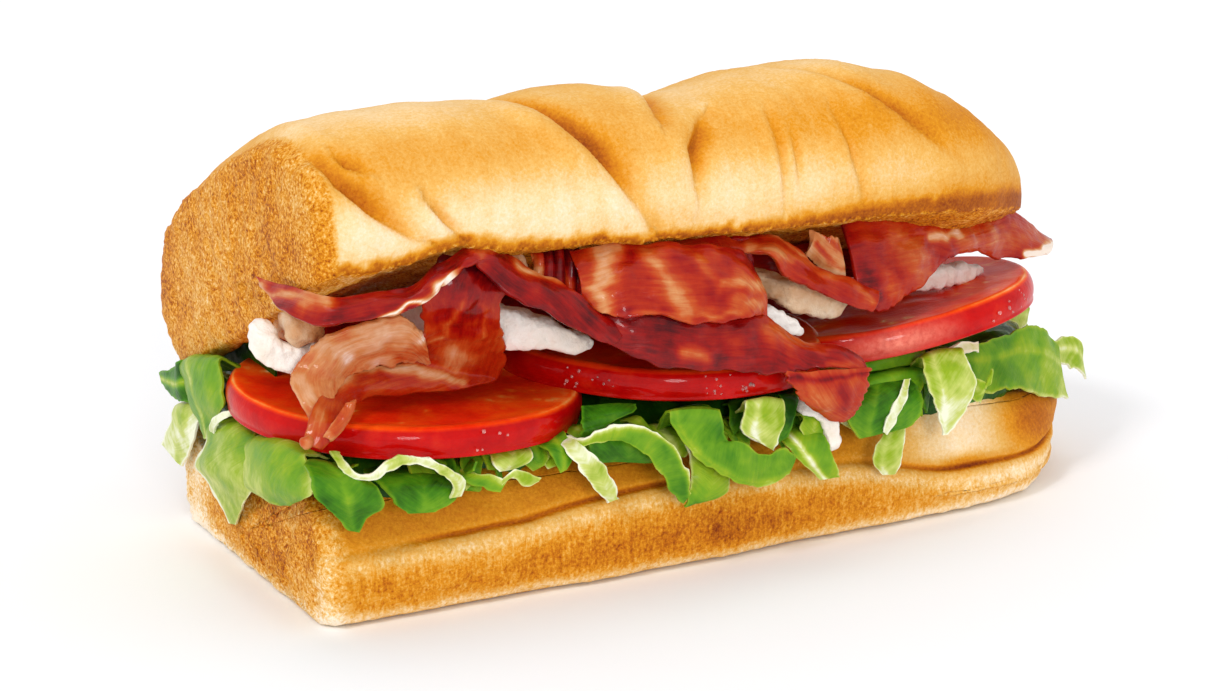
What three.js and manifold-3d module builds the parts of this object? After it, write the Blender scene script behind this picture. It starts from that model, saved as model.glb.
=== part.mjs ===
// Submarine sandwich: a split roll with lettuce, tomato slices, bacon and chicken.
// Millimetres, +Z up. X runs along the roll from the cut end (-X) to the rounded end (+X),
// -Y is the open front and the origin is on the floor under the middle of the bottom bun.
import * as THREE from 'three';
import { mergeVertices } from 'three/addons/utils/BufferGeometryUtils.js';
import Module from 'manifold-3d';

const wasm = await Module();
wasm.setup();

// Driving dimensions
const CUT_X = -77.5;
const BOTTOM_TIP_X = 101;
const TOP_TIP_X = 92;
const TOMATO_RADIUS = 33.5;
const TOMATO_THICKNESS = 6;
const BACON_THICKNESS = 1.5;
const LEAF_THICKNESS = 1.0;
const CLEARANCE = 0.4;
const SIMPLIFY = 0.1;

// Small maths helpers
const DEG = Math.PI / 180;
const clamp = (v, lo, hi) => Math.min(hi, Math.max(lo, v));
const mix = (a, b, t) => a + (b - a) * t;
const vec = (p) => new THREE.Vector3(p[0], p[1], p[2]);

function seededRandom(seed) {
  let state = seed >>> 0;
  return () => {
    state = (state * 1664525 + 1013904223) >>> 0;
    return state / 4294967296;
  };
}

function catmullRom(a, b, c, d, t) {
  const t2 = t * t;
  const t3 = t2 * t;
  return 0.5 * (2 * b + (c - a) * t + (2 * a - 5 * b + 4 * c - d) * t2 + (3 * b - a - 3 * c + d) * t3);
}

// A smooth row of numbers at place t (0 to 1) along a list of rows
function alongRows(rows, t) {
  const last = rows.length - 1;
  const place = clamp(t, 0, 1) * last;
  const i = Math.min(Math.floor(place), last - 1);
  const row = (k) => rows[clamp(k, 0, last)];
  return rows[i].map((_, n) => catmullRom(row(i - 1)[n], row(i)[n], row(i + 1)[n], row(i + 2)[n], place - i));
}

// A row of numbers at a value of its first column, which rises down the table
function atStation(rows, x) {
  let i = 0;
  while (i < rows.length - 2 && x > rows[i + 1][0]) i += 1;
  const t = clamp((x - rows[i][0]) / (rows[i + 1][0] - rows[i][0]), 0, 1);
  const s = t * t * (3 - 2 * t);
  return rows[i].map((v, n) => mix(v, rows[i + 1][n], s));
}

// Closed body from rings of points, each ring in the same order; ends close on their middle point
function loft(rings) {
  const count = rings[0].length;
  const positions = rings.flat().flatMap((p) => [p.x, p.y, p.z]);
  const index = [];
  for (let r = 0; r < rings.length - 1; r += 1) {
    for (let k = 0; k < count; k += 1) {
      const a = r * count + k;
      const b = r * count + ((k + 1) % count);
      index.push(a, b, a + count, b, b + count, a + count);
    }
  }
  for (const [r, first] of [[0, true], [rings.length - 1, false]]) {
    const middle = new THREE.Vector3();
    rings[r].forEach((p) => middle.add(p));
    middle.divideScalar(count);
    const hub = positions.length / 3;
    positions.push(middle.x, middle.y, middle.z);
    for (let k = 0; k < count; k += 1) {
      const a = r * count + k;
      const b = r * count + ((k + 1) % count);
      index.push(...(first ? [hub, b, a] : [hub, a, b]));
    }
  }
  return closed(positions, index);
}

// Welded geometry that faces outward
function closed(positions, index) {
  let geometry = new THREE.BufferGeometry();
  geometry.setAttribute('position', new THREE.Float32BufferAttribute(positions, 3));
  geometry.setIndex(index);
  geometry = mergeVertices(geometry, 1e-4);
  if (signedVolume(geometry) < 0) {
    const turned = Array.from(geometry.index.array);
    for (let i = 0; i < turned.length; i += 3) {
      [turned[i + 1], turned[i + 2]] = [turned[i + 2], turned[i + 1]];
    }
    geometry.setIndex(turned);
  }
  return geometry;
}

function signedVolume(geometry) {
  const p = geometry.attributes.position;
  const ix = geometry.index.array;
  const a = new THREE.Vector3();
  const b = new THREE.Vector3();
  const c = new THREE.Vector3();
  let sum = 0;
  for (let i = 0; i < ix.length; i += 3) {
    a.fromBufferAttribute(p, ix[i]);
    b.fromBufferAttribute(p, ix[i + 1]);
    c.fromBufferAttribute(p, ix[i + 2]);
    sum += a.dot(b.cross(c)) / 6;
  }
  return sum;
}

// The same body swollen along its vertex normals, used to leave a gap round a neighbour
function swollen(geometry, distance) {
  const copy = geometry.clone();
  copy.computeVertexNormals();
  const p = copy.attributes.position;
  const n = copy.attributes.normal;
  for (let i = 0; i < p.count; i += 1) {
    p.setXYZ(i, p.getX(i) + n.getX(i) * distance, p.getY(i) + n.getY(i) * distance, p.getZ(i) + n.getZ(i) * distance);
  }
  copy.deleteAttribute('normal');
  return copy;
}

function toManifold(geometry) {
  return new wasm.Manifold(new wasm.Mesh({
    numProp: 3,
    vertProperties: new Float32Array(geometry.attributes.position.array),
    triVerts: new Uint32Array(geometry.index.array),
  }));
}

function toGeometry(manifold) {
  const mesh = manifold.getMesh();
  const geometry = new THREE.BufferGeometry();
  geometry.setAttribute('position', new THREE.Float32BufferAttribute(new Float32Array(mesh.vertProperties), 3));
  geometry.setIndex(Array.from(mesh.triVerts));
  return geometry;
}

// The largest of the bodies that a cut leaves
function largestBody(manifold) {
  const bodies = manifold.decompose();
  return bodies.reduce((best, body) => (body.volume() > best.volume() ? body : best), bodies[0]);
}

function fused(geometries) {
  return toGeometry(largestBody(wasm.Manifold.union(geometries.map(toManifold))));
}

function clearOf(geometry, neighbours) {
  const box = new THREE.Box3().setFromBufferAttribute(geometry.attributes.position);
  const near = neighbours.filter((n) => {
    const other = new THREE.Box3().setFromBufferAttribute(n.attributes.position).expandByScalar(CLEARANCE);
    return other.intersectsBox(box);
  });
  let body = toManifold(geometry);
  for (const n of near) body = body.subtract(toManifold(swollen(n, CLEARANCE)));
  return toGeometry(largestBody(body.simplify(SIMPLIFY)));
}

// Sheet with thickness between two edges, used for bacon and lettuce
// Each row: one edge x, y, z, then the other edge x, y, z
function ribbon(rows, { along, across, thickness, bulge }) {
  const grid = [];
  for (let i = 0; i <= along; i += 1) {
    const t = i / along;
    const row = alongRows(rows, t);
    const upper = vec(row);
    const lower = vec(row.slice(3));
    const line = [];
    for (let j = 0; j <= across; j += 1) {
      const s = j / across;
      const point = upper.clone().lerp(lower, s);
      point.y -= bulge * Math.sin(Math.PI * s);
      line.push(point);
    }
    grid.push(line);
  }
  return thickened(grid, thickness);
}

// Gives a grid of points a thickness, half to each side
function thickened(grid, thickness) {
  const rows = grid.length;
  const cols = grid[0].length;
  const positions = [];
  const at = (i, j) => grid[clamp(i, 0, rows - 1)][clamp(j, 0, cols - 1)];
  for (const side of [1, -1]) {
    for (let i = 0; i < rows; i += 1) {
      for (let j = 0; j < cols; j += 1) {
        const du = at(i + 1, j).clone().sub(at(i - 1, j));
        const dv = at(i, j + 1).clone().sub(at(i, j - 1));
        const normal = du.cross(dv).normalize().multiplyScalar(side * thickness / 2);
        const p = grid[i][j].clone().add(normal);
        positions.push(p.x, p.y, p.z);
      }
    }
  }
  const index = [];
  const far = rows * cols;
  const quad = (a, b, c, d) => index.push(a, b, c, a, c, d);
  for (let i = 0; i < rows - 1; i += 1) {
    for (let j = 0; j < cols - 1; j += 1) {
      const a = i * cols + j;
      quad(a, a + 1, a + cols + 1, a + cols);
      index.push(far + a, far + a + cols + 1, far + a + 1, far + a, far + a + cols, far + a + cols + 1);
    }
  }
  for (let i = 0; i < rows - 1; i += 1) {
    const a = i * cols;
    const b = a + cols - 1;
    quad(a, a + cols, far + a + cols, far + a);
    quad(b + cols, b, far + b, far + b + cols);
  }
  for (let j = 0; j < cols - 1; j += 1) {
    const a = j;
    const b = (rows - 1) * cols + j;
    quad(a + 1, a, far + a, far + a + 1);
    quad(b, b + 1, far + b + 1, far + b);
  }
  return closed(positions, index);
}

// Top bun
// The half loaf leans open: its cut underside falls toward the back by the lean angle.
// Columns: x, front edge y, front edge z, lean in degrees, width along the cut, crown height
const TOP_STATIONS = [
  [-77.5, -37, 66, 25, 87, 29.5],
  [-70, -37, 65.5, 24, 87, 34],
  [-60, -36.5, 66, 23.5, 87, 34.2],
  [-48, -36, 66.5, 23, 87, 34],
  [-34, -35.5, 66.5, 23, 87, 32.6],
  [-15, -35, 65, 23, 86, 35.5],
  [3, -35, 64.5, 23, 85, 32.4],
  [22, -35, 64, 23, 85, 36],
  [38, -35, 64, 23, 84, 36.8],
  [55, -34, 63, 22, 83, 34],
  [66, -33.5, 62.5, 20, 82, 30.5],
  [78, -33, 62, 18, 81, 24.5],
  [92, -32, 61, 14, 80, 18],
];
const TOP_SQUARENESS = 3.1;
const TOP_ROUND_START = 46;
const TOP_ROUND_POWER = 2.15;
const TOP_TUCK = 4.5;
const TOP_TUCK_HEIGHT = 16;
const TOP_BULGE = 3.5;
// How far the crumb hangs below the straight cut: x, sag
const CRUMB_SAG = [[-77.5, 2.2], [-62, -1.5], [44, -1.5], [66, 4.5], [92, 2.5]];
// Creases pressed into the crust: places are x and the distance round the crust from the front edge
const CREASES = [
  { from: [-77, 27], to: [-52, 1], depth: 3.0, width: 3.0 },
  { from: [-57, 13], to: [-53, 2], depth: 2.2, width: 2.0 },
  { from: [-42, 40], to: [-11, 1], depth: 2.6, width: 2.6 },
  { from: [-1, 42], to: [-6, 22], depth: 2.4, width: 3.0 },
  { from: [3, 27], to: [-1, 8], depth: 2.4, width: 2.4 },
  { from: [12, 34], to: [10, 25], depth: 1.2, width: 1.8 },
  { from: [19, 23], to: [17, 7], depth: 1.3, width: 2.0 },
  { from: [24, 39], to: [55, 16], depth: 1.2, width: 2.2 },
];

function roundEnd(x, start, tip, power) {
  if (x <= start) return 1;
  return Math.pow(Math.max(0, 1 - Math.pow((x - start) / (tip - start), power)), 1 / power);
}

function creaseDepth(x, girth) {
  let depth = 0;
  for (const crease of CREASES) {
    const dx = crease.to[0] - crease.from[0];
    const dg = crease.to[1] - crease.from[1];
    const along = ((x - crease.from[0]) * dx + (girth - crease.from[1]) * dg) / (dx * dx + dg * dg);
    const held = clamp(along, 0, 1);
    const away = Math.hypot(x - crease.from[0] - dx * held, girth - crease.from[1] - dg * held);
    const fade = 0.4 + 0.6 * Math.sin(Math.PI * clamp(along, 0.08, 0.92));
    depth += crease.depth * fade * Math.exp(-Math.pow(away / crease.width, 2));
  }
  return depth;
}

function topPoint(x, station, turn, height) {
  const [, frontY, frontZ, lean, width] = station;
  const a = lean * DEG;
  return new THREE.Vector3(
    x,
    frontY + turn * width * Math.cos(a) + height * Math.sin(a),
    frontZ - turn * width * Math.sin(a) + height * Math.cos(a),
  );
}

// Crust section at x without its creases: points from the front edge over the crown to the back edge
function topArc(x, count) {
  const station = atStation(TOP_STATIONS, x);
  const [, , , , width, crown] = station;
  const end = roundEnd(x, TOP_ROUND_START, TOP_TIP_X, TOP_ROUND_POWER);
  const arc = [];
  for (let k = 0; k <= count; k += 1) {
    const angle = Math.PI * k / count;
    const side = Math.sign(Math.cos(angle)) * Math.pow(Math.abs(Math.cos(angle)), 2 / TOP_SQUARENESS);
    const height = crown * end * Math.pow(Math.max(0, Math.sin(angle)), 2 / TOP_SQUARENESS);
    const tuck = TOP_TUCK * Math.pow(clamp(1 - height / TOP_TUCK_HEIGHT, 0, 1), 2);
    const turn = 0.5 - 0.5 * side * end + Math.sign(side) * end * (tuck - TOP_BULGE) / width;
    arc.push(topPoint(x, station, turn, height));
  }
  return { arc, end, heart: topPoint(x, station, 0.5, crown * 0.3) };
}

function topBun() {
  const OUTER = 24;
  const UNDER = 6;
  const stations = [];
  for (let i = 0; i <= 26; i += 1) stations.push(mix(CUT_X, TOP_ROUND_START, i / 26));
  for (let i = 1; i <= 11; i += 1) {
    stations.push(TOP_ROUND_START + (TOP_TIP_X - TOP_ROUND_START) * Math.sin((i / 11) * 0.49 * Math.PI));
  }
  const rings = stations.map((x) => {
    const { arc, end, heart } = topArc(x, OUTER);
    let girth = 0;
    const ring = arc.map((point, k) => {
      girth += k > 0 ? point.distanceTo(arc[k - 1]) : 0;
      const inward = heart.clone().sub(point).normalize();
      return point.clone().addScaledVector(inward, creaseDepth(x, girth) * end);
    });
    const front = ring[0];
    const back = ring[OUTER];
    const [, sag] = atStation(CRUMB_SAG, x);
    for (let k = 1; k < UNDER; k += 1) {
      const point = back.clone().lerp(front, k / UNDER);
      point.z -= sag * Math.pow(Math.sin(Math.PI * k / UNDER), 0.7) * end;
      ring.push(point);
    }
    return ring;
  });
  return loft(rings);
}

// Bottom bun
// Columns: x, front y, back y, crease height, shoulder height, inner crumb height
const BOTTOM_STATIONS = [
  [-77.5, -34.5, 38.5, 14, 23.5, 13],
  [-50, -35, 38.5, 14.5, 24, 13.5],
  [-10, -35.5, 38, 17.5, 24, 14],
  [30, -34.5, 37, 18, 24.5, 14],
  [60, -33.5, 36, 15, 24, 14.5],
  [80, -33, 35.5, 12, 20, 13.5],
  [101, -32, 35, 9, 15.5, 11],
];
const BOTTOM_ROUND_START = 52;
const BOTTOM_ROUND_POWER = 2.8;
const BOTTOM_LIFT_START = 80;
const BOTTOM_LIFT = 3;
// How far the floor edge stays behind the shoulder at the rounded end
const BOTTOM_OVERHANG = 14;
const BOTTOM_OVERHANG_HEIGHT = 15;

function bottomOutline(station) {
  const [, front, back, crease, shoulder, inner] = station;
  return [
    [front + 3, 0], [front + 0.8, 1.2], [front - 0.6, 5], [front - 0.9, crease - 5],
    [front - 0.2, crease - 1.6], [front + 1.1, crease], [front + 1.6, crease + 1.4],
    [front + 3.6, mix(crease, shoulder, 0.62)], [front + 6.4, shoulder - 0.4], [front + 9.5, shoulder],
    [front + 14, shoulder - 2.6], [front + 22, inner + 1.6], [front + 34, inner], [back - 20, inner],
    [back - 10, inner + 1.2], [back - 4, inner + 3.4], [back - 1.2, inner + 2.8], [back + 0.6, inner - 1.6],
    [back + 0.8, 6.5], [back - 0.4, 1.6], [back - 3, 0],
  ];
}

function bottomBun() {
  const FLOOR = 4;
  const stations = [];
  for (let i = 0; i <= 18; i += 1) stations.push(mix(CUT_X, BOTTOM_ROUND_START, i / 18));
  for (let i = 1; i <= 11; i += 1) {
    stations.push(BOTTOM_ROUND_START + (BOTTOM_TIP_X - BOTTOM_ROUND_START) * Math.sin((i / 11) * 0.49 * Math.PI));
  }
  const rings = stations.map((x) => {
    const station = atStation(BOTTOM_STATIONS, x);
    const end = roundEnd(x, BOTTOM_ROUND_START, BOTTOM_TIP_X, BOTTOM_ROUND_POWER);
    const middle = (station[1] + station[2]) / 2;
    const lift = BOTTOM_LIFT * Math.pow(clamp((x - BOTTOM_LIFT_START) / (BOTTOM_TIP_X - BOTTOM_LIFT_START), 0, 1), 1.6);
    const lean = BOTTOM_OVERHANG * Math.pow(1 - end, 0.7);
    const ring = bottomOutline(station).map(([y, z]) => {
      const low = clamp(1 - z / BOTTOM_OVERHANG_HEIGHT, 0, 1);
      return new THREE.Vector3(x - lean * low, middle + (y - middle) * end, lift * (1 - z / 30) + z);
    });
    const back = ring[ring.length - 1];
    const front = ring[0];
    for (let k = 1; k < FLOOR; k += 1) ring.push(back.clone().lerp(front, k / FLOOR));
    return ring;
  });
  return loft(rings);
}

// Tomato slices: centre, then how much the slice falls toward +X and toward +Y
const TOMATOES = {
  tomato_left: { centre: [-49, -6, 33.4], fallX: 0.05, fallY: -0.01 },
  tomato_middle: { centre: [5.5, -5.5, 35.6], fallX: 0.05, fallY: 0.02 },
  tomato_right: { centre: [57.5, -2.5, 35], fallX: -0.138, fallY: 0.15 },
};

function tomatoSlice({ centre, fallX, fallY }) {
  const bevel = 1.1;
  const half = TOMATO_THICKNESS / 2;
  const outline = [
    [0.6 * TOMATO_RADIUS, -half], [TOMATO_RADIUS - bevel * 1.4, -half], [TOMATO_RADIUS - 0.3, -half + bevel],
    [TOMATO_RADIUS, 0], [TOMATO_RADIUS - 0.3, half - bevel], [TOMATO_RADIUS - bevel * 1.4, half],
    [0.6 * TOMATO_RADIUS, half - 0.35],
  ];
  const SIDES = 30;
  const rings = outline.map(([radius, z]) => {
    const ring = [];
    for (let k = 0; k < SIDES; k += 1) {
      const angle = (k / SIDES) * Math.PI * 2;
      const uneven = 1 + 0.012 * Math.cos(3 * angle + centre[0]) + 0.008 * Math.sin(5 * angle);
      ring.push(new THREE.Vector3(radius * uneven * Math.cos(angle), radius * uneven * Math.sin(angle), z));
    }
    return ring;
  });
  const geometry = loft(rings);
  const up = new THREE.Vector3(fallX, fallY, 1).normalize();
  geometry.applyQuaternion(new THREE.Quaternion().setFromUnitVectors(new THREE.Vector3(0, 0, 1), up));
  geometry.translate(...centre);
  return geometry;
}

// Bacon strips: upper edge x, y, z, then lower edge x, y, z, from one end of the strip to the other
const BACON = {
  crest: [
    [-80.5, -13, 61.5, -80.5, -15, 60.5], [-78.5, -24, 62, -81.5, -28, 59],
    [-75.5, -35, 63.5, -79, -38.5, 58.5], [-64, -35, 64.5, -72, -39.5, 59],
    [-55.5, -33, 66, -64, -39, 59.5], [-50, -31, 66.5, -57.5, -38, 61], [-44.5, -30, 66.5, -52, -37, 65],
    [-38.5, -31, 64.5, -47, -35, 64.5], [-34, -33, 61.5, -42.5, -37, 59.5],
    [-28.5, -35, 58, -36, -38, 55.5], [-24, -37, 54, -28.5, -39, 51], [-19, -38, 49.5, -22, -39, 47.5],
  ],
  ruffle: [
    [-38, -26, 65, -40, -28, 60], [-30, -27, 64.5, -31, -30, 56], [-24, -28, 63.5, -26, -32, 53],
    [-19, -30, 62, -21, -34, 51],
  ],
  back: [
    [-6, -28, 62.5, -6, -30, 61], [4, -28, 62, 3, -31, 59.5], [10, -27, 61.5, 9, -30, 59],
    [18.5, -27, 60.5, 15.5, -31, 58], [23.5, -28, 57.5, 19, -32, 54], [28.5, -29, 53.5, 24, -33, 51],
    [34.5, -30, 50.5, 31, -33, 47.5], [41, -31, 48, 38, -33, 44.5],
  ],
  behind: [
    [8, -27.5, 62, 14, -27.5, 61.5], [9, -26, 56, 14, -27, 57], [11, -27, 50, 15, -28, 51],
  ],
  leaf: [
    [27, -26, 56, 28.5, -26, 60.5], [30, -27, 53, 32, -27, 59], [34.5, -28, 50.5, 34.5, -26, 58],
  ],
  right: [
    [36, -24, 60.5, 36, -31, 46.5], [46, -23, 60, 41.5, -31, 43.5], [53.5, -22, 59.5, 47, -30, 45],
    [61, -20, 58.5, 55, -26, 47.5], [67, -18, 55, 61.5, -23, 50.5], [76, -14, 54.5, 70, -20, 50],
    [86, -10, 55, 79, -17, 47], [93.5, -8, 50, 86, -15, 45.5], [99, -7, 46, 95, -11, 45],
  ],
  inner: [
    [-72, 6, 50, -72, -2, 41], [-58, -4, 52, -60, -10, 40], [-44, 6, 50, -46, 2, 40],
    [-30, -6, 52, -31, -12, 41], [-14, 4, 50, -16, -2, 42], [2, -6, 52, 0, -12, 42],
    [18, 4, 50, 17, -2, 41], [34, -6, 52, 33, -12, 40], [50, 4, 49, 49, -2, 42], [66, -2, 50, 66, -6, 43],
    [78, 2, 50, 79, -2, 45],
  ],
  drape_down: [
    [-56, -33, 62, -39.5, -33, 60], [-56.5, -32, 58.5, -41, -32, 57], [-55.5, -29.5, 55, -40, -30, 53],
    [-54.5, -27, 51.5, -38, -27, 49], [-54, -24, 48, -36, -23, 44], [-53.5, -21.5, 45, -36, -18.5, 38.5],
    [-56, -20, 44, -43, -18, 37.4], [-63.5, -20.5, 44, -54.5, -18, 38.2],
    [-70, -24, 43.5, -63.5, -21, 39.4], [-75.5, -29, 42.5, -69.5, -28, 39.4],
    [-79, -32.5, 39.5, -74.5, -33.5, 38], [-80.5, -33.5, 36, -78, -34.5, 35],
  ],
  drape_panel: [
    [-77, -30.5, 38.5, -75.5, -30, 39], [-79, -26, 43, -72.5, -28, 41.5],
    [-78.5, -24, 46, -68.5, -24.5, 43.6], [-76, -24.5, 49.5, -65.5, -23, 44.2],
    [-73, -27, 53, -62, -22, 44.6], [-65, -28, 55.5, -57.5, -21.5, 44.6],
    [-58.5, -28, 55, -53.5, -21.5, 44.4], [-54.5, -27, 51, -51, -22, 44.4],
  ],
  broad_upper: [
    [-25.5, -29, 63, -26, -35, 55], [-22, -30, 63.5, -23, -38, 53.5], [-16, -31, 64.5, -19.5, -40, 52.5],
    [-9, -32, 63.5, -13.5, -41, 52.5], [-2, -32, 62.5, -8, -42, 50.5], [4.5, -32, 61.5, -3, -42, 50],
    [8.5, -32, 60.5, 3, -41, 49.5], [10.5, -33, 58, 7.5, -39, 49.5], [11.5, -34, 54.5, 11.5, -37, 48.5],
  ],
  broad_lower: [
    [-24, -33, 54.5, -26, -35, 50], [-20.5, -37, 54.5, -19.5, -39, 46], [-13.5, -38, 53.5, -13, -41, 43],
    [-6, -39, 51.5, -5, -41.5, 41], [2.5, -38, 50.5, 3.5, -42, 39.5], [10, -36, 49, 10.5, -42, 38.5],
    [14.5, -36, 46, 15.5, -42, 38], [19.5, -37, 42.5, 21, -42, 38], [25.5, -38, 40.5, 26.5, -42.2, 37],
    [31.5, -39.5, 37.5, 31, -42.5, 35.5],
  ],
  broad_flap: [
    [12.5, -42, 38.6, 31.5, -42, 36.4], [14, -43, 36, 31, -43, 33.5], [16.5, -43, 32.5, 29.5, -43, 30.5],
    [20, -42, 30, 28.5, -42, 28.5], [24, -41, 27.5, 26.5, -41, 27],
  ],
};
// The runs that make up each strip
const STRIPS = {
  bacon_broad: ['broad_upper', 'broad_lower', 'broad_flap'],
  bacon_drape: ['drape_down', 'drape_panel'],
  bacon_crest: ['crest'],
  bacon_ruffle: ['ruffle'],
  bacon_back: ['back', 'behind'],
  bacon_leaf: ['leaf'],
  bacon_right: ['right'],
  bacon_inner: ['inner'],
};

function baconStrip(names) {
  const runs = names.map((name) => {
    const rows = BACON[name];
    const settings = { along: Math.max(4, rows.length), across: 3, thickness: BACON_THICKNESS, bulge: 1 };
    return ribbon(rows, settings);
  });
  return runs.length > 1 ? fused(runs) : runs[0];
}

// Chicken pieces: rows of middle x, y, z, then half the depth and half the height of the meat there
const CHICKEN = {
  chicken_curl: [
    [-77, 2, 55, 1.6, 1.6], [-78.6, -4, 53.5, 2, 2.2], [-80, -9, 49, 2.2, 2.4], [-78.8, -13, 46.4, 2, 2.3],
    [-75, -15.5, 46, 1.6, 1.9], [-72, -17.5, 48, 1, 1.4], [-70.5, -18.5, 50, 0.5, 0.6],
  ],
  chicken_left: [
    [-68, 2, 50, 4, 4], [-72, -12, 52.5, 4, 3.6], [-74, -22, 53, 3, 3],
  ],
  chicken_wedge: [
    [-48, -6, 48, 4, 4], [-43, -18, 48, 4.5, 4.4], [-38, -22.5, 47.6, 3, 3.4],
    [-29, -25.5, 45.2, 1.8, 1.7], [-22.5, -27, 43.8, 0.8, 0.7],
  ],
  chicken_tucked: [
    [-38, -8, 52, 4, 4], [-36.5, -20, 57.5, 3, 3], [-34, -25, 61.5, 2, 2.4],
  ],
  chicken_glossy: [
    [16, -16, 50, 2.4, 3], [21.5, -24, 49.4, 2.6, 2.6], [26, -26.5, 47.6, 2.6, 3], [31, -27, 46.2, 3, 2.8],
    [35.5, -26, 45.8, 2, 1.8],
  ],
  chicken_middle: [
    [8, -22, 45, 3, 2.4], [15, -29.5, 46.4, 2, 1.8], [20, -30.5, 44, 2, 1.7], [24, -31, 42, 1.2, 0.9],
  ],
  chicken_right: [
    [54, -8, 44, 3, 2.4], [62, -13, 43.4, 2.4, 2.2], [68, -12.5, 43.4, 2.2, 2.2], [74, -11, 43.2, 2, 1.5],
    [80, -10, 42.8, 1, 0.9],
  ],
  chicken_low: [
    [20, -30, 29, 1.4, 1.4], [21, -37.5, 29, 1.2, 1.3], [24.5, -39, 27, 1.2, 1.4],
    [26, -39.5, 20.5, 1.2, 1.6],
  ],
};

// Lump of meat: rings across a smooth path, squared off and uneven
function chunk(rows, seed) {
  const random = seededRandom(seed);
  const RINGS = rows.length + 2;
  const SIDES = 8;
  const rings = [];
  for (let i = 0; i <= RINGS; i += 1) {
    const t = i / RINGS;
    const [x, y, z, wide, tall] = alongRows(rows, t);
    const ahead = alongRows(rows, Math.min(1, t + 0.02));
    const behind = alongRows(rows, Math.max(0, t - 0.02));
    const run = vec(ahead).sub(vec(behind)).normalize();
    const side = new THREE.Vector3(0, 0, 1).cross(run).normalize();
    const up = run.clone().cross(side);
    const taper = Math.pow(Math.max(0.12, Math.sin(Math.PI * mix(0.1, 0.9, t))), 0.4);
    const ring = [];
    for (let k = 0; k < SIDES; k += 1) {
      const angle = (k / SIDES) * Math.PI * 2;
      const rough = taper * (0.9 + 0.22 * random());
      const c = Math.sign(Math.cos(angle)) * Math.pow(Math.abs(Math.cos(angle)), 0.75);
      const s = Math.sign(Math.sin(angle)) * Math.pow(Math.abs(Math.sin(angle)), 0.75);
      ring.push(new THREE.Vector3(x, y, z).addScaledVector(side, c * wide * rough).addScaledVector(up, s * tall * rough));
    }
    rings.push(ring);
  }
  return loft(rings);
}

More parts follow.
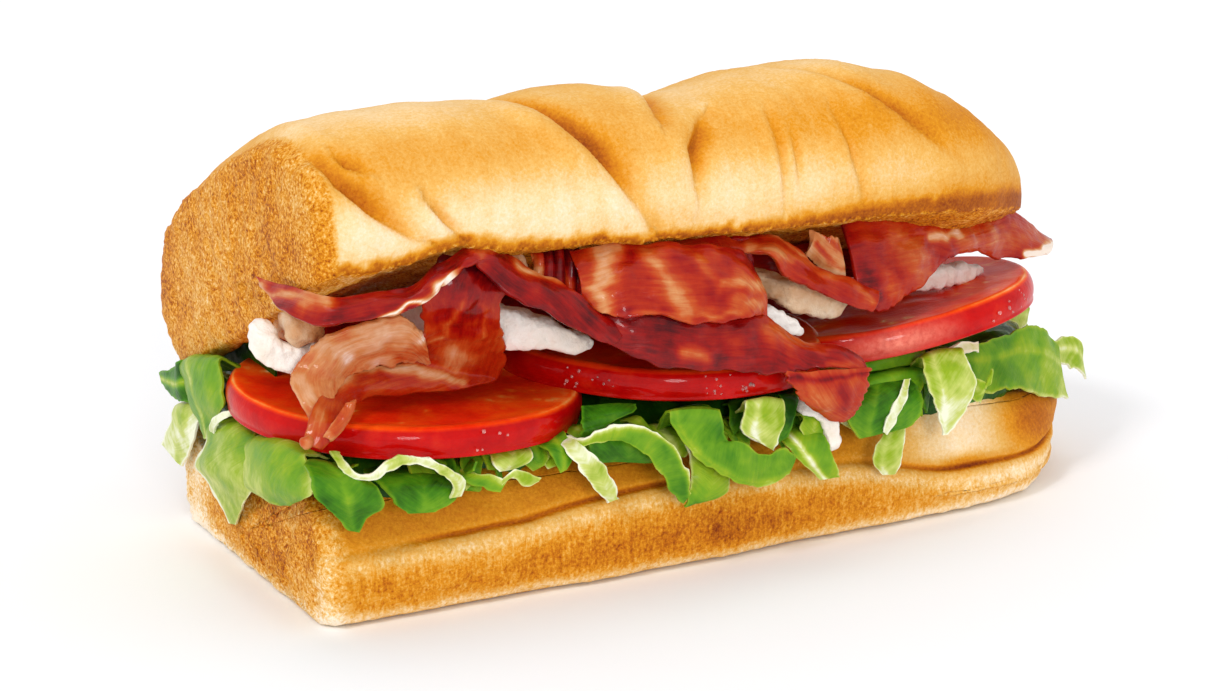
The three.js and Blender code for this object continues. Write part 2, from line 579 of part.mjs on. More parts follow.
// Lettuce blades: rows of one edge x, y, z, then the other edge x, y, z, from the root to the tip
const BLADES = [
  [
    [-70, 30, 31, -70, 10, 34], [-79, 32.5, 33.5, -79, 10, 40], [-80.5, 27.5, 31.5, -80.5, 6, 36.5],
    [-81, 24, 28, -81, 4.5, 33], [-80.5, 19.5, 24.5, -80.5, 10.5, 27.5], [-80, 18.5, 22, -80, 16.5, 23],
  ],
  [
    [-74, 24, 34, -74, 24, 28], [-79.5, 29, 35, -79.5, 28, 27], [-80.5, 33, 32.5, -80.5, 31.5, 26.5],
    [-80, 43, 29, -80, 41.5, 27],
  ],
  [
    [-73, 30, 25.5, -73, 20, 28], [-79, 35, 24.5, -79, 21.5, 26.5], [-80, 38, 19.5, -80, 23.5, 21],
    [-80, 43.5, 14, -80, 32.5, 12.5],
  ],
  [
    [-78, -5, 33.5, -78, -2, 31.5], [-80, 0, 33, -80, 2, 31.5], [-81.5, 4.5, 31.5, -81.5, 3, 30.5],
    [-82, 9.5, 28, -82, 6.5, 28], [-80.6, 13.5, 24.3, -80.6, 10.5, 24.3],
  ],
  [
    [-72, 14, 27.5, -72, -8, 29], [-79, 18, 26, -79, -7, 30], [-80.5, 16.5, 22, -80.5, -14, 29],
    [-81.5, 20.5, 17, -81.5, -13, 25], [-81.5, 16.5, 15.5, -81.5, -10, 21],
    [-80.5, 10.5, 12, -80.5, -3, 15.5], [-79.5, 8.5, 8, -79.5, 4.5, 9],
  ],
  [
    [-72, -4, 28.5, -72, -24, 29], [-80, -4.5, 28.5, -79, -31, 33], [-82, -6.5, 25.5, -80, -34, 31.5],
    [-82.5, -9.5, 21.5, -80.5, -38.5, 29.5], [-82, -17, 21, -81, -35, 26.5],
    [-81.5, -23.5, 21.5, -81, -27, 23],
  ],
  [
    [-76, -28, 29, -68, -28, 28.5], [-80, -33, 32.5, -71.5, -32, 29.5], [-81.5, -38, 31.5, -69.5, -38, 28],
    [-81.5, -39.5, 28.5, -68, -39.5, 24.5], [-77.5, -39.5, 24, -71, -39.5, 23],
    [-74.5, -39, 20.5, -73, -39, 20],
  ],
  [
    [-76, -34, 34, -74, -34, 33.5], [-74.5, -38, 30.5, -73.5, -38, 31.5],
    [-70.5, -39.5, 29.5, -71, -39.5, 30.5], [-66.5, -40, 31, -67.5, -40, 33],
    [-62.5, -40, 31.5, -62.5, -40, 33], [-57.5, -40, 29, -56, -40, 30],
    [-54.5, -39.5, 25.5, -52.5, -39.5, 26.5], [-55, -39, 23.5, -53, -39, 23.5],
  ],
  [
    [-67, -26, 27, -52, -26, 26], [-67.5, -33, 27.5, -51, -33, 25.5], [-67, -37, 26.5, -52, -37, 24.5],
    [-66, -39, 24.5, -54.5, -39, 22.5], [-63.5, -39.5, 22, -58.5, -39.5, 21.5],
  ],
  [
    [-50.5, -35, 26, -48, -33, 28], [-49.5, -37.5, 27.5, -48.5, -37, 29],
  ],
  [
    [-53, -30, 26, -50, -30, 27], [-51, -37, 25.5, -49.5, -36, 26.5], [-48, -38.5, 24, -46, -38, 26],
    [-45, -39, 23, -43.5, -39, 25],
  ],
  [
    [-46, -34, 24, -45, -34, 25], [-45, -38.5, 24, -44.5, -38.5, 25], [-42.5, -39.5, 25.5, -42, -39.5, 27],
    [-40, -39.5, 23.5, -38.5, -39.5, 25.5], [-37.5, -39.5, 24, -37, -39.5, 24.5],
  ],
  [
    [-45, -30, 28, -37, -30, 28], [-45, -35, 29, -37, -35, 28.5], [-45.5, -37.5, 28, -38, -37.5, 27.5],
    [-44.5, -38, 26.5, -41.5, -38, 26.5],
  ],
  [
    [-34.5, -28, 28, -29, -28, 29], [-34.5, -34, 29, -29, -34, 29.8], [-34, -37.5, 27.5, -29, -37.5, 27.5],
    [-32.5, -38.5, 24.5, -31, -38.5, 25],
  ],
  [
    [-31, -31, 28, -28, -31, 28.5], [-31.5, -37, 29, -28, -37, 29.8], [-30, -39.5, 26.5, -27, -39.5, 28],
    [-27.5, -40, 23, -23.5, -40, 24], [-25, -39.5, 19.5, -21.5, -39.5, 20],
    [-23, -39, 17.5, -20.5, -39, 18],
  ],
  [
    [-29, -34, 29, -29, -34, 30], [-28, -38.5, 29, -28, -38.5, 30.5], [-25.5, -40.5, 30, -26.5, -40.5, 32],
    [-20.5, -41.5, 29.5, -22, -41.5, 33], [-16.5, -42, 26.5, -16, -42, 31.5],
    [-13.5, -42, 23, -10.5, -42, 27], [-11, -41.5, 19, -7.5, -41.5, 21.5], [-8, -41, 15.5, -6.5, -41, 17],
  ],
  [
    [-26, -34, 35, -14.5, -34.5, 34], [-27, -36, 33, -16, -36, 33], [-27.5, -37, 31.5, -22, -37, 32],
    [-27, -34, 28.5, -23, -34, 28.5],
  ],
  [
    [-25, -30, 28, -10, -30, 27], [-25, -36, 29.5, -10, -36, 27], [-26, -37.5, 27.5, -10, -37.5, 24.5],
    [-23.5, -37.5, 25, -12, -37.5, 23],
  ],
  [
    [-8, -29, 25, 2, -29, 25], [-10.5, -39, 33.2, 0.5, -39.3, 32], [-10, -40.4, 31, 0.5, -40.4, 29.5],
    [-8.5, -41.5, 27.5, 1, -41.5, 26.5], [-3.5, -42.5, 22.5, 4, -42, 26], [2.5, -42.5, 18.5, 9, -42, 22.5],
    [7.5, -42, 16.5, 13.5, -41.5, 23], [15, -41, 17.5, 16.5, -41, 21],
  ],
  [
    [-4, -34, 25, 1, -34, 23], [-5.5, -38.5, 24, 0, -38.5, 22], [-5.5, -40, 20, 2.5, -40, 18.5],
    [-7, -40.5, 16, 1, -40.5, 15.5], [-7.5, -40.5, 14.5, -4, -40.5, 15],
  ],
  [
    [9, -29, 25, 15, -29, 25], [6, -39.2, 32.8, 14, -39.2, 32], [5.5, -40, 30.5, 14.5, -40, 29.5],
    [5, -40.5, 27.5, 13, -40.5, 25.5], [9, -40.5, 24.5, 12, -40.5, 22.5],
  ],
  [
    [17, -30, 27.5, 20, -30, 27.5], [16, -35, 31.5, 20, -35, 31], [15.5, -38, 28.5, 18, -38, 28.5],
    [13, -39.5, 23.5, 15.5, -39.5, 24.5],
  ],
  [
    [15, -30, 24, 23.5, -30, 24], [14.5, -38, 23.5, 23.5, -38, 24], [17.5, -40.5, 20, 24.5, -40.5, 20.5],
    [20, -40.5, 17.5, 26, -40.5, 17.5], [22.5, -40, 15, 27, -40, 15],
  ],
  [
    [20, -30, 25, 24.5, -30, 25], [20, -37, 27.5, 24.5, -37, 26.5], [19, -38.5, 25, 24.5, -38.5, 23],
    [20, -38.5, 23, 23, -38.5, 22.5],
  ],
  [
    [38, -27, 28, 46, -27, 28], [36, -33, 29, 47.5, -33, 29.5], [31, -37, 27.5, 47.5, -37, 26],
    [29.5, -38.5, 25.5, 45, -38.5, 22.5], [32, -39, 21.5, 39.5, -39, 22],
  ],
  [
    [41, -30, 24, 44.5, -30, 24.5], [40.5, -35.5, 23.5, 44.5, -35.5, 24],
    [36.5, -38.5, 19, 42.5, -38.5, 18.5], [35.5, -38.5, 16, 42, -38.5, 14.5],
    [38, -38, 13, 41.5, -38, 12.5],
  ],
  [
    [44.5, -35, 30.5, 46, -35, 30.5], [41, -38, 28, 43, -38, 27], [37.5, -39.5, 24.5, 39.5, -39.5, 23.5],
    [37, -39.5, 22.5, 38, -39.5, 21.5],
  ],
  [
    [51, -26, 28, 58, -26, 28], [50, -32, 33.5, 59, -32, 34.5], [48.5, -36, 32, 59, -36, 32.5],
    [48.5, -38, 28.5, 59.5, -38, 28.5], [50, -38.5, 24.5, 57, -38.5, 24], [52, -38, 19, 53, -38, 19],
  ],
  [
    [57, -30, 27, 60, -30, 28], [58.5, -35, 27, 61, -35, 28.5], [59.5, -37, 25, 63.5, -37, 27.5],
    [61.5, -37, 24, 64, -37, 30.5],
  ],
  [
    [62, -18, 31, 62, -20, 26], [65, -24, 31.5, 64, -28, 26.5], [71, -24, 32, 68, -30, 23.5],
    [78.5, -22, 32, 74, -29, 23], [84, -20, 32.5, 80, -27, 21], [89.5, -18, 31, 87.5, -24, 18],
    [95, -16, 26, 95.5, -20, 15.5],
  ],
  [
    [88, -8, 26, 88, -12, 23], [94.5, -14, 26.5, 94.5, -16, 22.5], [100.5, -12, 26.5, 98, -16, 21],
    [104.5, -11, 24.5, 102, -15, 19.5], [105.5, -11, 20.5, 105.5, -13, 16.5],
  ],
  [
    [80, -6, 31, 80, -8, 29], [84.5, -10, 34, 85.5, -12, 31.5], [91.5, -8, 34, 88.5, -12, 29.5],
    [93.5, -8, 32.5, 91.5, -10, 30],
  ],
  [
    [58, -24, 29, 59, -24, 27.5], [62, -27, 33.5, 63, -28, 31.5], [67.5, -27, 33, 67, -28, 31.5],
  ],
  [
    [41, -24, 28, 55.5, -24, 28], [39.5, -28, 33, 55.5, -26, 32.5], [38.5, -30, 31.5, 54, -28, 31],
  ],
  [
    [38, -26, 29.5, 52.5, -26, 29.5], [37, -32, 30, 52.5, -31, 30], [37, -33, 28.5, 52.5, -32, 28],
  ],
  [
    [80, 12, 26, 80, 0, 26], [92, 12, 28, 92, 0, 28], [99, 10, 25, 99, 0, 25.5], [102, 8, 19, 103, 0, 19],
  ],
  [
    [76, 26, 25, 76, 14, 25], [86, 27, 26, 86, 17, 26.5], [91, 27, 22, 93, 19, 22.5],
    [92, 26, 17, 95, 21, 17],
  ],
];
const BACK_BLADES = 9;
const NARROW_BLADE = 5.5;

function blade(rows) {
  const widest = Math.max(...rows.map((row) => vec(row).distanceTo(vec(row.slice(3)))));
  const across = widest > NARROW_BLADE ? 2 : 1;
  return ribbon(rows, { along: Math.max(4, rows.length - 1), across, thickness: LEAF_THICKNESS, bulge: 0.5 });
}

function lettuceCore() {
  const SIDES = 16;
  const rings = [];
  for (let i = 0; i <= 11; i += 1) {
    const x = mix(-75.5, 90, i / 11);
    const end = roundEnd(x, 55, 91.5, 2.4);
    const ring = [];
    for (let k = 0; k < SIDES; k += 1) {
      const angle = (k / SIDES) * Math.PI * 2;
      const c = Math.sign(Math.cos(angle)) * Math.pow(Math.abs(Math.cos(angle)), 0.4);
      const s = Math.sign(Math.sin(angle)) * Math.pow(Math.abs(Math.sin(angle)), 0.6);
      const uneven = 1.2 * Math.sin(x * 0.31 + k * 1.7);
      ring.push(new THREE.Vector3(x, 2 + (35 + uneven) * c * end, 22.9 + 7.4 * s * mix(0.6, 1, end)));
    }
    rings.push(ring);
  }
  return loft(rings);
}

function lettuceHeap() {
  const pieces = [lettuceCore(), ...BLADES.map(blade)];
  const random = seededRandom(7);
  for (let i = 0; i < BACK_BLADES; i += 1) {
    const x = mix(-66, 74, i / (BACK_BLADES - 1)) + 5 * (random() - 0.5);
    const half = 5 + 1.5 * random();
    const reach = 40 + 3 * random();
    const drop = 20 + 4 * random();
    const tip = x + 4 * (random() - 0.5);
    pieces.push(blade([
      [x - half, 30, 25, x + half, 30, 25],
      [x - half, 36, 26, x + half, 36, 26],
      [x - half * 0.8, reach, 24.5, x + half * 0.8, reach, 24.5],
      [tip - half * 0.5, reach + 0.6, drop, tip + half * 0.5, reach + 0.6, drop],
    ]));
  }
  return fused(pieces);
}

// Colours and finishes
const FINISHES = {
  crust: { color: '#d9a45e', roughness: 0.62 },
  lettuce: { color: '#7fae3a', roughness: 0.5 },
  tomato: { color: '#c4261c', roughness: 0.25 },
  bacon: { color: '#9c3a2a', roughness: 0.32 },
  chicken: { color: '#efe2cf', roughness: 0.55 },
};

function named(name, geometry, finish) {
  const { color, roughness } = FINISHES[finish];
  const material = new THREE.MeshStandardMaterial({ color, roughness, metalness: 0 });
  const plain = geometry.clone();
  for (const attribute of ['normal', 'uv']) {
    if (plain.attributes[attribute]) plain.deleteAttribute(attribute);
  }
  const mesh = new THREE.Mesh(mergeVertices(plain, 1e-4), material);
  mesh.name = name;
  return mesh;
}

function sandwich() {
  const group = new THREE.Group();
  group.name = 'submarine_sandwich';
  const whole = [];
  const add = (name, shape, finish, uncut = shape) => {
    group.add(named(name, shape, finish));
    whole.push(uncut);
  };
  add('bun_bottom', bottomBun(), 'crust');
  add('bun_top', topBun(), 'crust');
  for (const name of ['tomato_right', 'tomato_middle', 'tomato_left']) {
    const slice = tomatoSlice(TOMATOES[name]);
    add(name, clearOf(slice, whole), 'tomato', slice);
  }
  for (const [name, runs] of Object.entries(STRIPS)) {
    const strip = baconStrip(runs);
    add(name, clearOf(strip, whole), 'bacon', strip);
  }
  Object.entries(CHICKEN).forEach(([name, rows], i) => {
    const lump = chunk(rows, 40 + i);
    add(name, clearOf(lump, whole), 'chicken', lump);
  });
  add('lettuce', clearOf(lettuceHeap(), whole), 'lettuce');
  return group;
}

export default sandwich();
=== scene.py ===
"""Submarine sandwich: a split roll with shredded lettuce, tomato slices, bacon and chicken.

Metres, +Z up. X runs along the roll from the cut end (-X) to the rounded end (+X), -Y is the open
front and the floor is at z = 0. Places and sizes are written in millimetres, as in the solid model.
"""

import math

import bpy
import numpy as np
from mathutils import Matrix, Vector


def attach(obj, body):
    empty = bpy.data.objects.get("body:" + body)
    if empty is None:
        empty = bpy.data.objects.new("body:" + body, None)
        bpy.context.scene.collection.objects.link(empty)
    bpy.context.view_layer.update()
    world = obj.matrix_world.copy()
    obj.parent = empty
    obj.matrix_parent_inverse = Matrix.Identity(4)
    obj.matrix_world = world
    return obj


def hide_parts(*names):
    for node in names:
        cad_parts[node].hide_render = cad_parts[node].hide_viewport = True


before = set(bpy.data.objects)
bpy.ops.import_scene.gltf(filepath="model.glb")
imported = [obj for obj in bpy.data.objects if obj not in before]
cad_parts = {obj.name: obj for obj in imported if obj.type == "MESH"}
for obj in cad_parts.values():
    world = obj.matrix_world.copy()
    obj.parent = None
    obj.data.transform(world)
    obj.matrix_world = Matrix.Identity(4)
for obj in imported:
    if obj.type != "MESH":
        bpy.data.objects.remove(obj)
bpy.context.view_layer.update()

MM = 0.001
CUT_X = -77.5
CUT_BULGE = 0.8
BOTTOM_TIP_X = 101
TOP_TIP_X = 92
TOMATO_RADIUS = 33.5
TOMATO_THICKNESS = 6
BACON_THICKNESS = 1.1
LEAF_THICKNESS = 0.45


# Colour and materials


def colour(code):
    """An sRGB hex colour as linear red, green, blue, alpha."""
    parts = [int(code[i : i + 2], 16) / 255 for i in (1, 3, 5)]
    return (*[c / 12.92 if c <= 0.04045 else ((c + 0.055) / 1.055) ** 2.4 for c in parts], 1.0)


def fill_ramp(band, stops):
    """Gives a colour ramp its stops of (place, hex colour)."""
    while len(band.elements) < len(stops):
        band.elements.new(0.5)
    for element, (place, code) in zip(band.elements, stops):
        element.position = place
        element.color = colour(code)


def fill(tree, made, inputs):
    """Gives each input of a node its value, or a link from another node's output."""
    for key, value in inputs.items():
        if isinstance(value, bpy.types.NodeSocket):
            tree.links.new(value, made.inputs[key])
        else:
            made.inputs[key].default_value = value


def node(tree, kind, settings=None, inputs=None):
    """Adds a node with its settings and inputs."""
    made = tree.nodes.new("ShaderNode" + kind)
    for key, value in (settings or {}).items():
        if key == "stops":
            fill_ramp(made.color_ramp, value)
        else:
            setattr(made, key, value)
    fill(tree, made, inputs or {})
    return made


def sum_of(tree, *parts):
    """Adds up patterns. A part is a pattern or a number, or a pair of them that is multiplied first."""
    total = None
    for part in parts:
        if isinstance(part, tuple):
            pair = {0: part[0], 1: part[1]}
            part = node(tree, "Math", {"operation": "MULTIPLY"}, pair).outputs[0]
        if total is not None:
            part = node(tree, "Math", {"operation": "ADD"}, {0: total, 1: part}).outputs[0]
        total = part
    return total


def swing(tree, pattern, amount):
    """A pattern from 0 to 1 made to swing round zero by that amount."""
    return sum_of(tree, (pattern, amount), -0.5 * amount)


def material(name, roughness, ior, specular):
    """A Principled material: (material, its tree, its shader)."""
    made = bpy.data.materials.new(name)
    made.use_nodes = True
    tree = made.node_tree
    shader = tree.nodes["Principled BSDF"]
    fill(tree, shader, {"Roughness": roughness, "IOR": ior, "Specular IOR Level": specular})
    return made, tree, shader


def from_piece(tree, *names):
    """The place on the piece, then the numbers that paint() stored there under these names."""
    place = node(tree, "TexCoord").outputs["Object"]
    painted = [node(tree, "Attribute", {"attribute_name": name}).outputs["Fac"] for name in names]
    return place, *painted


def mottles(tree, place, *kinds):
    """Noise patterns from 0 to 1, each from the size of its lumps in millimetres, detail and roughness."""
    made = []
    for size, detail, roughness in kinds:
        inputs = {"Vector": place, "Scale": 1 / (size * MM), "Detail": detail, "Roughness": roughness}
        made.append(node(tree, "TexNoise", None, inputs).outputs["Fac"])
    return made


def bread_material():
    """Baked white bread: matt, pale cream where it swelled in the oven and golden to brown where it caught,
    with the open grain of crumb on the cut end and upright fibres along the lower wall."""
    made, tree, shader = material("baked_bread", 0.6, 1.45, 0.15)
    # The browning numbers also hold painted shade in creases and hollows, and painted highlights on the lip
    # and on swellings.
    place, brown, open_crumb, fibre = from_piece(tree, "browning", "crumb", "fibre")
    broad, fine, speck = mottles(tree, place, (16, 2, 0.6), (0.62, 2, 0.7), (2.2, 4, 0.75))
    upright = node(tree, "VectorMath", {"operation": "MULTIPLY"}, {0: place, 1: (1, 1, 0.22)})
    (fibres,) = mottles(tree, upright.outputs[0], (0.7, 2, 0.6))
    torn = sum_of(tree, (swing(tree, fibres, 1.0), fibre))
    amount = sum_of(tree, (open_crumb, 1.1), 0.18)
    grain, specks = swing(tree, fine, 1.0), swing(tree, speck, 0.5)
    shade = sum_of(tree, brown, swing(tree, broad, 0.22), (grain, amount), (specks, amount), torn)
    stops = [
        (0.0, "#ffefd8"),
        (0.18, "#f7d6a2"),
        (0.36, "#e9b45e"),
        (0.54, "#dc9018"),
        (0.7, "#be6a08"),
        (0.86, "#8a3a06"),
        (1.0, "#4a1704"),
    ]
    tint = node(tree, "ValToRGB", {"stops": stops}, {"Fac": shade})
    height = sum_of(tree, (fine, 0.7), (speck, 0.5), torn)
    relief = node(tree, "Bump", None, {"Strength": 0.55, "Distance": 0.35 * MM, "Height": height})
    fill(tree, shader, {"Base Color": tint.outputs["Color"], "Normal": relief.outputs["Normal"]})
    return made


def tomato_material():
    """Ripe tomato, freshly cut: orange-red flesh with paler threads and seeds, smooth shining dark skin."""
    made, tree, shader = material("ripe_tomato", 0.3, 1.4, 0.05)
    place, skin, pale, bloom = from_piece(tree, "skin", "pale", "bloom")
    cells, threads = mottles(tree, place, (5, 4, 0.65), (1.4, 3, 0.7))
    shade = sum_of(tree, pale, swing(tree, cells, 0.5), swing(tree, threads, 0.25))
    flesh_stops = [(0.0, "#d40a08"), (0.3, "#f4300a"), (0.55, "#ff5c10"), (0.8, "#ff9c48"), (1.0, "#ffd8b0")]
    rim_stops = [(0.25, "#b00004"), (0.55, "#c80a06"), (0.85, "#d62c12")]
    flesh = node(tree, "ValToRGB", {"stops": flesh_stops}, {"Fac": shade}).outputs["Color"]
    rim = node(tree, "ValToRGB", {"stops": rim_stops}, {"Fac": cells}).outputs["Color"]
    whole = node(tree, "Mix", {"data_type": "RGBA"}, {0: skin, 6: flesh, 7: rim}).outputs[2]
    bloomed = {0: sum_of(tree, (bloom, threads)), 6: whole, 7: colour("#f08a74")}
    tint = node(tree, "Mix", {"data_type": "RGBA"}, bloomed).outputs[2]
    relief = node(tree, "Bump", None, {"Strength": 0.35, "Distance": 0.3 * MM, "Height": threads})
    inputs = {
        "Base Color": tint,
        "Subsurface Weight": 0.25,
        "Subsurface Radius": (1.0, 0.25, 0.15),
        "Subsurface Scale": 3 * MM,
        "Coat Weight": sum_of(tree, (skin, 0.28)),
        "Coat Roughness": 0.06,
        "Normal": relief.outputs["Normal"],
    }
    fill(tree, shader, inputs)
    return made


def wet_film(tree, shader, tint, relief, weight, roughness):
    """Colours and relief under a clear film of fat or juice."""
    fill(tree, shader, {"Base Color": tint.outputs["Color"], "Normal": relief.outputs["Normal"]})
    fill(tree, shader, {"Coat Weight": weight, "Coat Roughness": roughness})


def bacon_material():
    """Fried streaky bacon: dark red meat with fibres along it and amber fat, all under a film of fat."""
    made, tree, shader = material("fried_bacon", 0.3, 1.46, 0.1)
    # The painted fat also holds a few painted highlights and some painted shade from the strip tables.
    place, fat, along, across = from_piece(tree, "fat", "along", "across")
    (lean,) = mottles(tree, place, (7, 4, 0.6))
    run = node(tree, "CombineXYZ", None, {"X": sum_of(tree, (along, 0.14)), "Y": across})
    (fibre,) = mottles(tree, run.outputs["Vector"], (1.1, 3, 0.65))
    shade = sum_of(tree, fat, swing(tree, lean, 0.55), swing(tree, fibre, 0.42))
    stops = [
        (0.0, "#4c0008"),
        (0.2, "#960a06"),
        (0.38, "#b02c0a"),
        (0.55, "#c0521e"),
        (0.72, "#d08a54"),
        (0.87, "#dfae88"),
        (1.0, "#f5e4d4"),
    ]
    tint = node(tree, "ValToRGB", {"stops": stops}, {"Fac": shade})
    height = sum_of(tree, lean, (fibre, 0.5))
    relief = node(tree, "Bump", None, {"Strength": 0.6, "Distance": 0.7 * MM, "Height": height})
    wet_film(tree, shader, tint, relief, 0.34, 0.09)
    return made


def chicken_material():
    """Cooked chicken breast: off-white and slightly moist, tan where the pan or the sauce touched it."""
    made, tree, shader = material("cooked_chicken", 0.45, 1.45, 0.3)
    place, tan = from_piece(tree, "tan")
    patches, strands = mottles(tree, place, (6, 3, 0.6), (1.3, 3, 0.7))
    shade = sum_of(tree, tan, swing(tree, patches, 0.5), swing(tree, strands, 0.2))
    stops = [(0.0, "#fdf6ee"), (0.3, "#f6e6d4"), (0.5, "#e8c8a4"), (0.72, "#cd905a"), (1.0, "#9c5524")]
    tint = node(tree, "ValToRGB", {"stops": stops}, {"Fac": shade})
    height = sum_of(tree, strands, (patches, 0.6))
    relief = node(tree, "Bump", None, {"Strength": 0.7, "Distance": 0.6 * MM, "Height": height})
    wet_film(tree, shader, tint, relief, 0.25, 0.2)
    return made


def lettuce_material():
    """Iceberg lettuce, shredded: fresh green blades with pale ribs and fine veins that run out from them."""
    made, tree, shader = material("shredded_lettuce", 0.42, 1.4, 0.12)
    place, pale, vein_run, vein_away = from_piece(tree, "pale", "vein_run", "vein_away")
    (clouds,) = mottles(tree, place, (7, 3, 0.6))
    run = node(tree, "CombineXYZ", None, {"X": vein_run, "Y": sum_of(tree, (vein_away, 0.22))})
    (veins,) = mottles(tree, run.outputs["Vector"], (1.5, 4, 0.7))
    shade = sum_of(tree, pale, swing(tree, clouds, 0.75), swing(tree, veins, 0.34))
    stops = [
        (0.0, "#1c4a08"),
        (0.2, "#427e10"),
        (0.42, "#6c9c1a"),
        (0.62, "#92ae20"),
        (0.82, "#c6d06c"),
        (1.0, "#f1f3d6"),
    ]
    tint = node(tree, "ValToRGB", {"stops": stops}, {"Fac": shade})
    height = sum_of(tree, (veins, 0.7), clouds)
    relief = node(tree, "Bump", None, {"Strength": 0.6, "Distance": 0.5 * MM, "Height": height})
    wet_film(tree, shader, tint, relief, 0.16, 0.16)
    return made


def water_material():
    """Juice and water in fine beads: smooth, slightly milky and pale as a painted highlight, so each shows as
    a bright speck.
    """
    made, tree, shader = material("water_beads", 0.1, 1.33, 0.6)
    # The pale base colour under part transmission is a painted highlight, standing in for the glints on the
    # beads.
    fill(tree, shader, {"Base Color": colour("#ffcac4"), "Transmission Weight": 0.75})
    return made


# Shaping


def clamp(value, low=0.0, high=1.0):
    """The value, kept between low and high."""
    return np.minimum(high, np.maximum(low, value))


def mix(a, b, t):
    """From a to b as t goes from 0 to 1."""
    return a + (b - a) * t


def near(value, middle, reach):
    """1 where the value is at the middle, falling smoothly to nothing about twice the reach away."""
    return np.exp(-(((value - middle) / reach) ** 2))


def scattered(i, j, k, seed):
    """A repeatable number from 0 to 1 for whole numbers i, j and k."""
    n = (i * 374761393 + j * 668265263 + k * 1442695041 + seed * 1274126177) & 0xFFFFFFFF
    n = ((n ^ (n >> 13)) * 1274126177) & 0xFFFFFFFF
    n = ((n ^ (n >> 15)) * 2246822519) & 0xFFFFFFFF
    return ((n >> 8) & 0xFFFF) / 65535.0


def lumps(points, size, seed=0, layers=1):
    """Smooth unevenness from -1 to 1 at points in millimetres, with lumps of that size."""
    total = np.zeros(len(points))
    weight = 1.0
    for layer in range(layers):
        p = points / size * 2**layer + 57.3
        cell = np.floor(p).astype(np.int64)
        f = p - cell
        f = f * f * (3 - 2 * f)
        value = 0.0
        for corner in range(8):
            di, dj, dk = corner & 1, corner >> 1 & 1, corner >> 2 & 1
            share = np.where(di, f[:, 0], 1 - f[:, 0])
            share = share * np.where(dj, f[:, 1], 1 - f[:, 1])
            share = share * np.where(dk, f[:, 2], 1 - f[:, 2])
            value = value + share * scattered(cell[:, 0] + di, cell[:, 1] + dj, cell[:, 2] + dk, seed + layer)
        total += weight * (2 * value - 1)
        weight *= 0.5
    return total


def along_rows(rows, t):
    """Smooth rows at places t from 0 to 1 down the table: one row of numbers for each place."""
    rows = np.asarray(rows, float)
    last = len(rows) - 1
    place = clamp(np.asarray(t, float)) * last
    i = np.minimum(np.floor(place).astype(int), last - 1)
    f = (place - i)[:, None]
    a, b, c, d = (rows[np.clip(i + k, 0, last)] for k in (-1, 0, 1, 2))
    return 0.5 * (2 * b + (c - a) * f + (2 * a - 5 * b + 4 * c - d) * f**2 + (3 * b - a - 3 * c + d) * f**3)


def at_station(rows, x):
    """Rows at values of the first column, which rises down the table."""
    rows = np.asarray(rows, float)
    x = np.asarray(x, float)
    i = np.clip(np.searchsorted(rows[:, 0], x, side="right") - 1, 0, len(rows) - 2)
    t = clamp((x - rows[i, 0]) / (rows[i + 1, 0] - rows[i, 0]))
    s = (t * t * (3 - 2 * t))[:, None]
    return mix(rows[i], rows[i + 1], s)


def blank(name, along, across):
    """A flat grid ready for shaping: (piece, row of each vertex, column of each vertex)."""
    bpy.ops.object.select_all(action="DESELECT")
    bpy.ops.mesh.primitive_grid_add(x_subdivisions=along, y_subdivisions=across, size=1, location=(0, 0, 0))
    piece = bpy.context.object
    piece.name = name
    piece.data.name = name
    flat = corners(piece) * MM
    row = np.rint((flat[:, 0] + 0.5) * along).astype(int)
    column = np.rint((flat[:, 1] + 0.5) * across).astype(int)
    return piece, row, column


def corners(piece):
    """The piece's vertices in millimetres."""
    flat = np.empty(len(piece.data.vertices) * 3)
    piece.data.vertices.foreach_get("co", flat)
    return flat.reshape(-1, 3) / MM


def move_to(piece, points):
    """Sets the piece's vertices, in millimetres."""
    piece.data.vertices.foreach_set("co", (points * MM).ravel())
    piece.data.update()


def facing(piece):
    """The direction that the surface faces at each vertex."""
    flat = np.empty(len(piece.data.vertices) * 3)
    piece.data.vertices.foreach_get("normal", flat)
    return flat.reshape(-1, 3)


def paint(piece, name, values):
    """Stores one number for each vertex, for the material to read."""
    attribute = piece.data.attributes.get(name) or piece.data.attributes.new(name, "FLOAT", "POINT")
    attribute.data.foreach_set("value", np.asarray(values, np.float32))


def painted_on(piece, name):
    """The numbers painted on a piece, as its vertices are now."""
    values = np.empty(len(piece.data.vertices), np.float32)
    piece.data.attributes[name].data.foreach_get("value", values)
    return values


def push(piece, distance):
    """Moves each vertex along its normal by its own distance in millimetres."""
    move_to(piece, corners(piece) + facing(piece) * np.asarray(distance)[:, None])


def weld(piece, gap=0.01):
    """Joins the vertices that meet, and turns every face outward."""
    only(piece)
    bpy.ops.object.mode_set(mode="EDIT")
    bpy.ops.mesh.select_all(action="SELECT")
    bpy.ops.mesh.remove_doubles(threshold=gap * MM)
    bpy.ops.mesh.normals_make_consistent(inside=False)
    bpy.ops.object.mode_set(mode="OBJECT")


def only(piece):
    """Selects this piece alone."""
    bpy.ops.object.select_all(action="DESELECT")
    piece.select_set(True)
    bpy.context.view_layer.objects.active = piece


def finish_with(piece, kind, **settings):
    """Adds a modifier with these settings and applies it."""
    only(piece)
    modifier = piece.modifiers.new(kind.lower(), kind)
    for key, value in settings.items():
        setattr(modifier, key, value)
    bpy.ops.object.modifier_apply(modifier=modifier.name)


def joined(name, parts):
    """The parts as one piece of that name."""
    bpy.ops.object.select_all(action="DESELECT")
    for part in parts:
        part.select_set(True)
    bpy.context.view_layer.objects.active = parts[0]
    bpy.ops.object.join()
    piece = bpy.context.object
    piece.name = name
    piece.data.name = name
    return piece


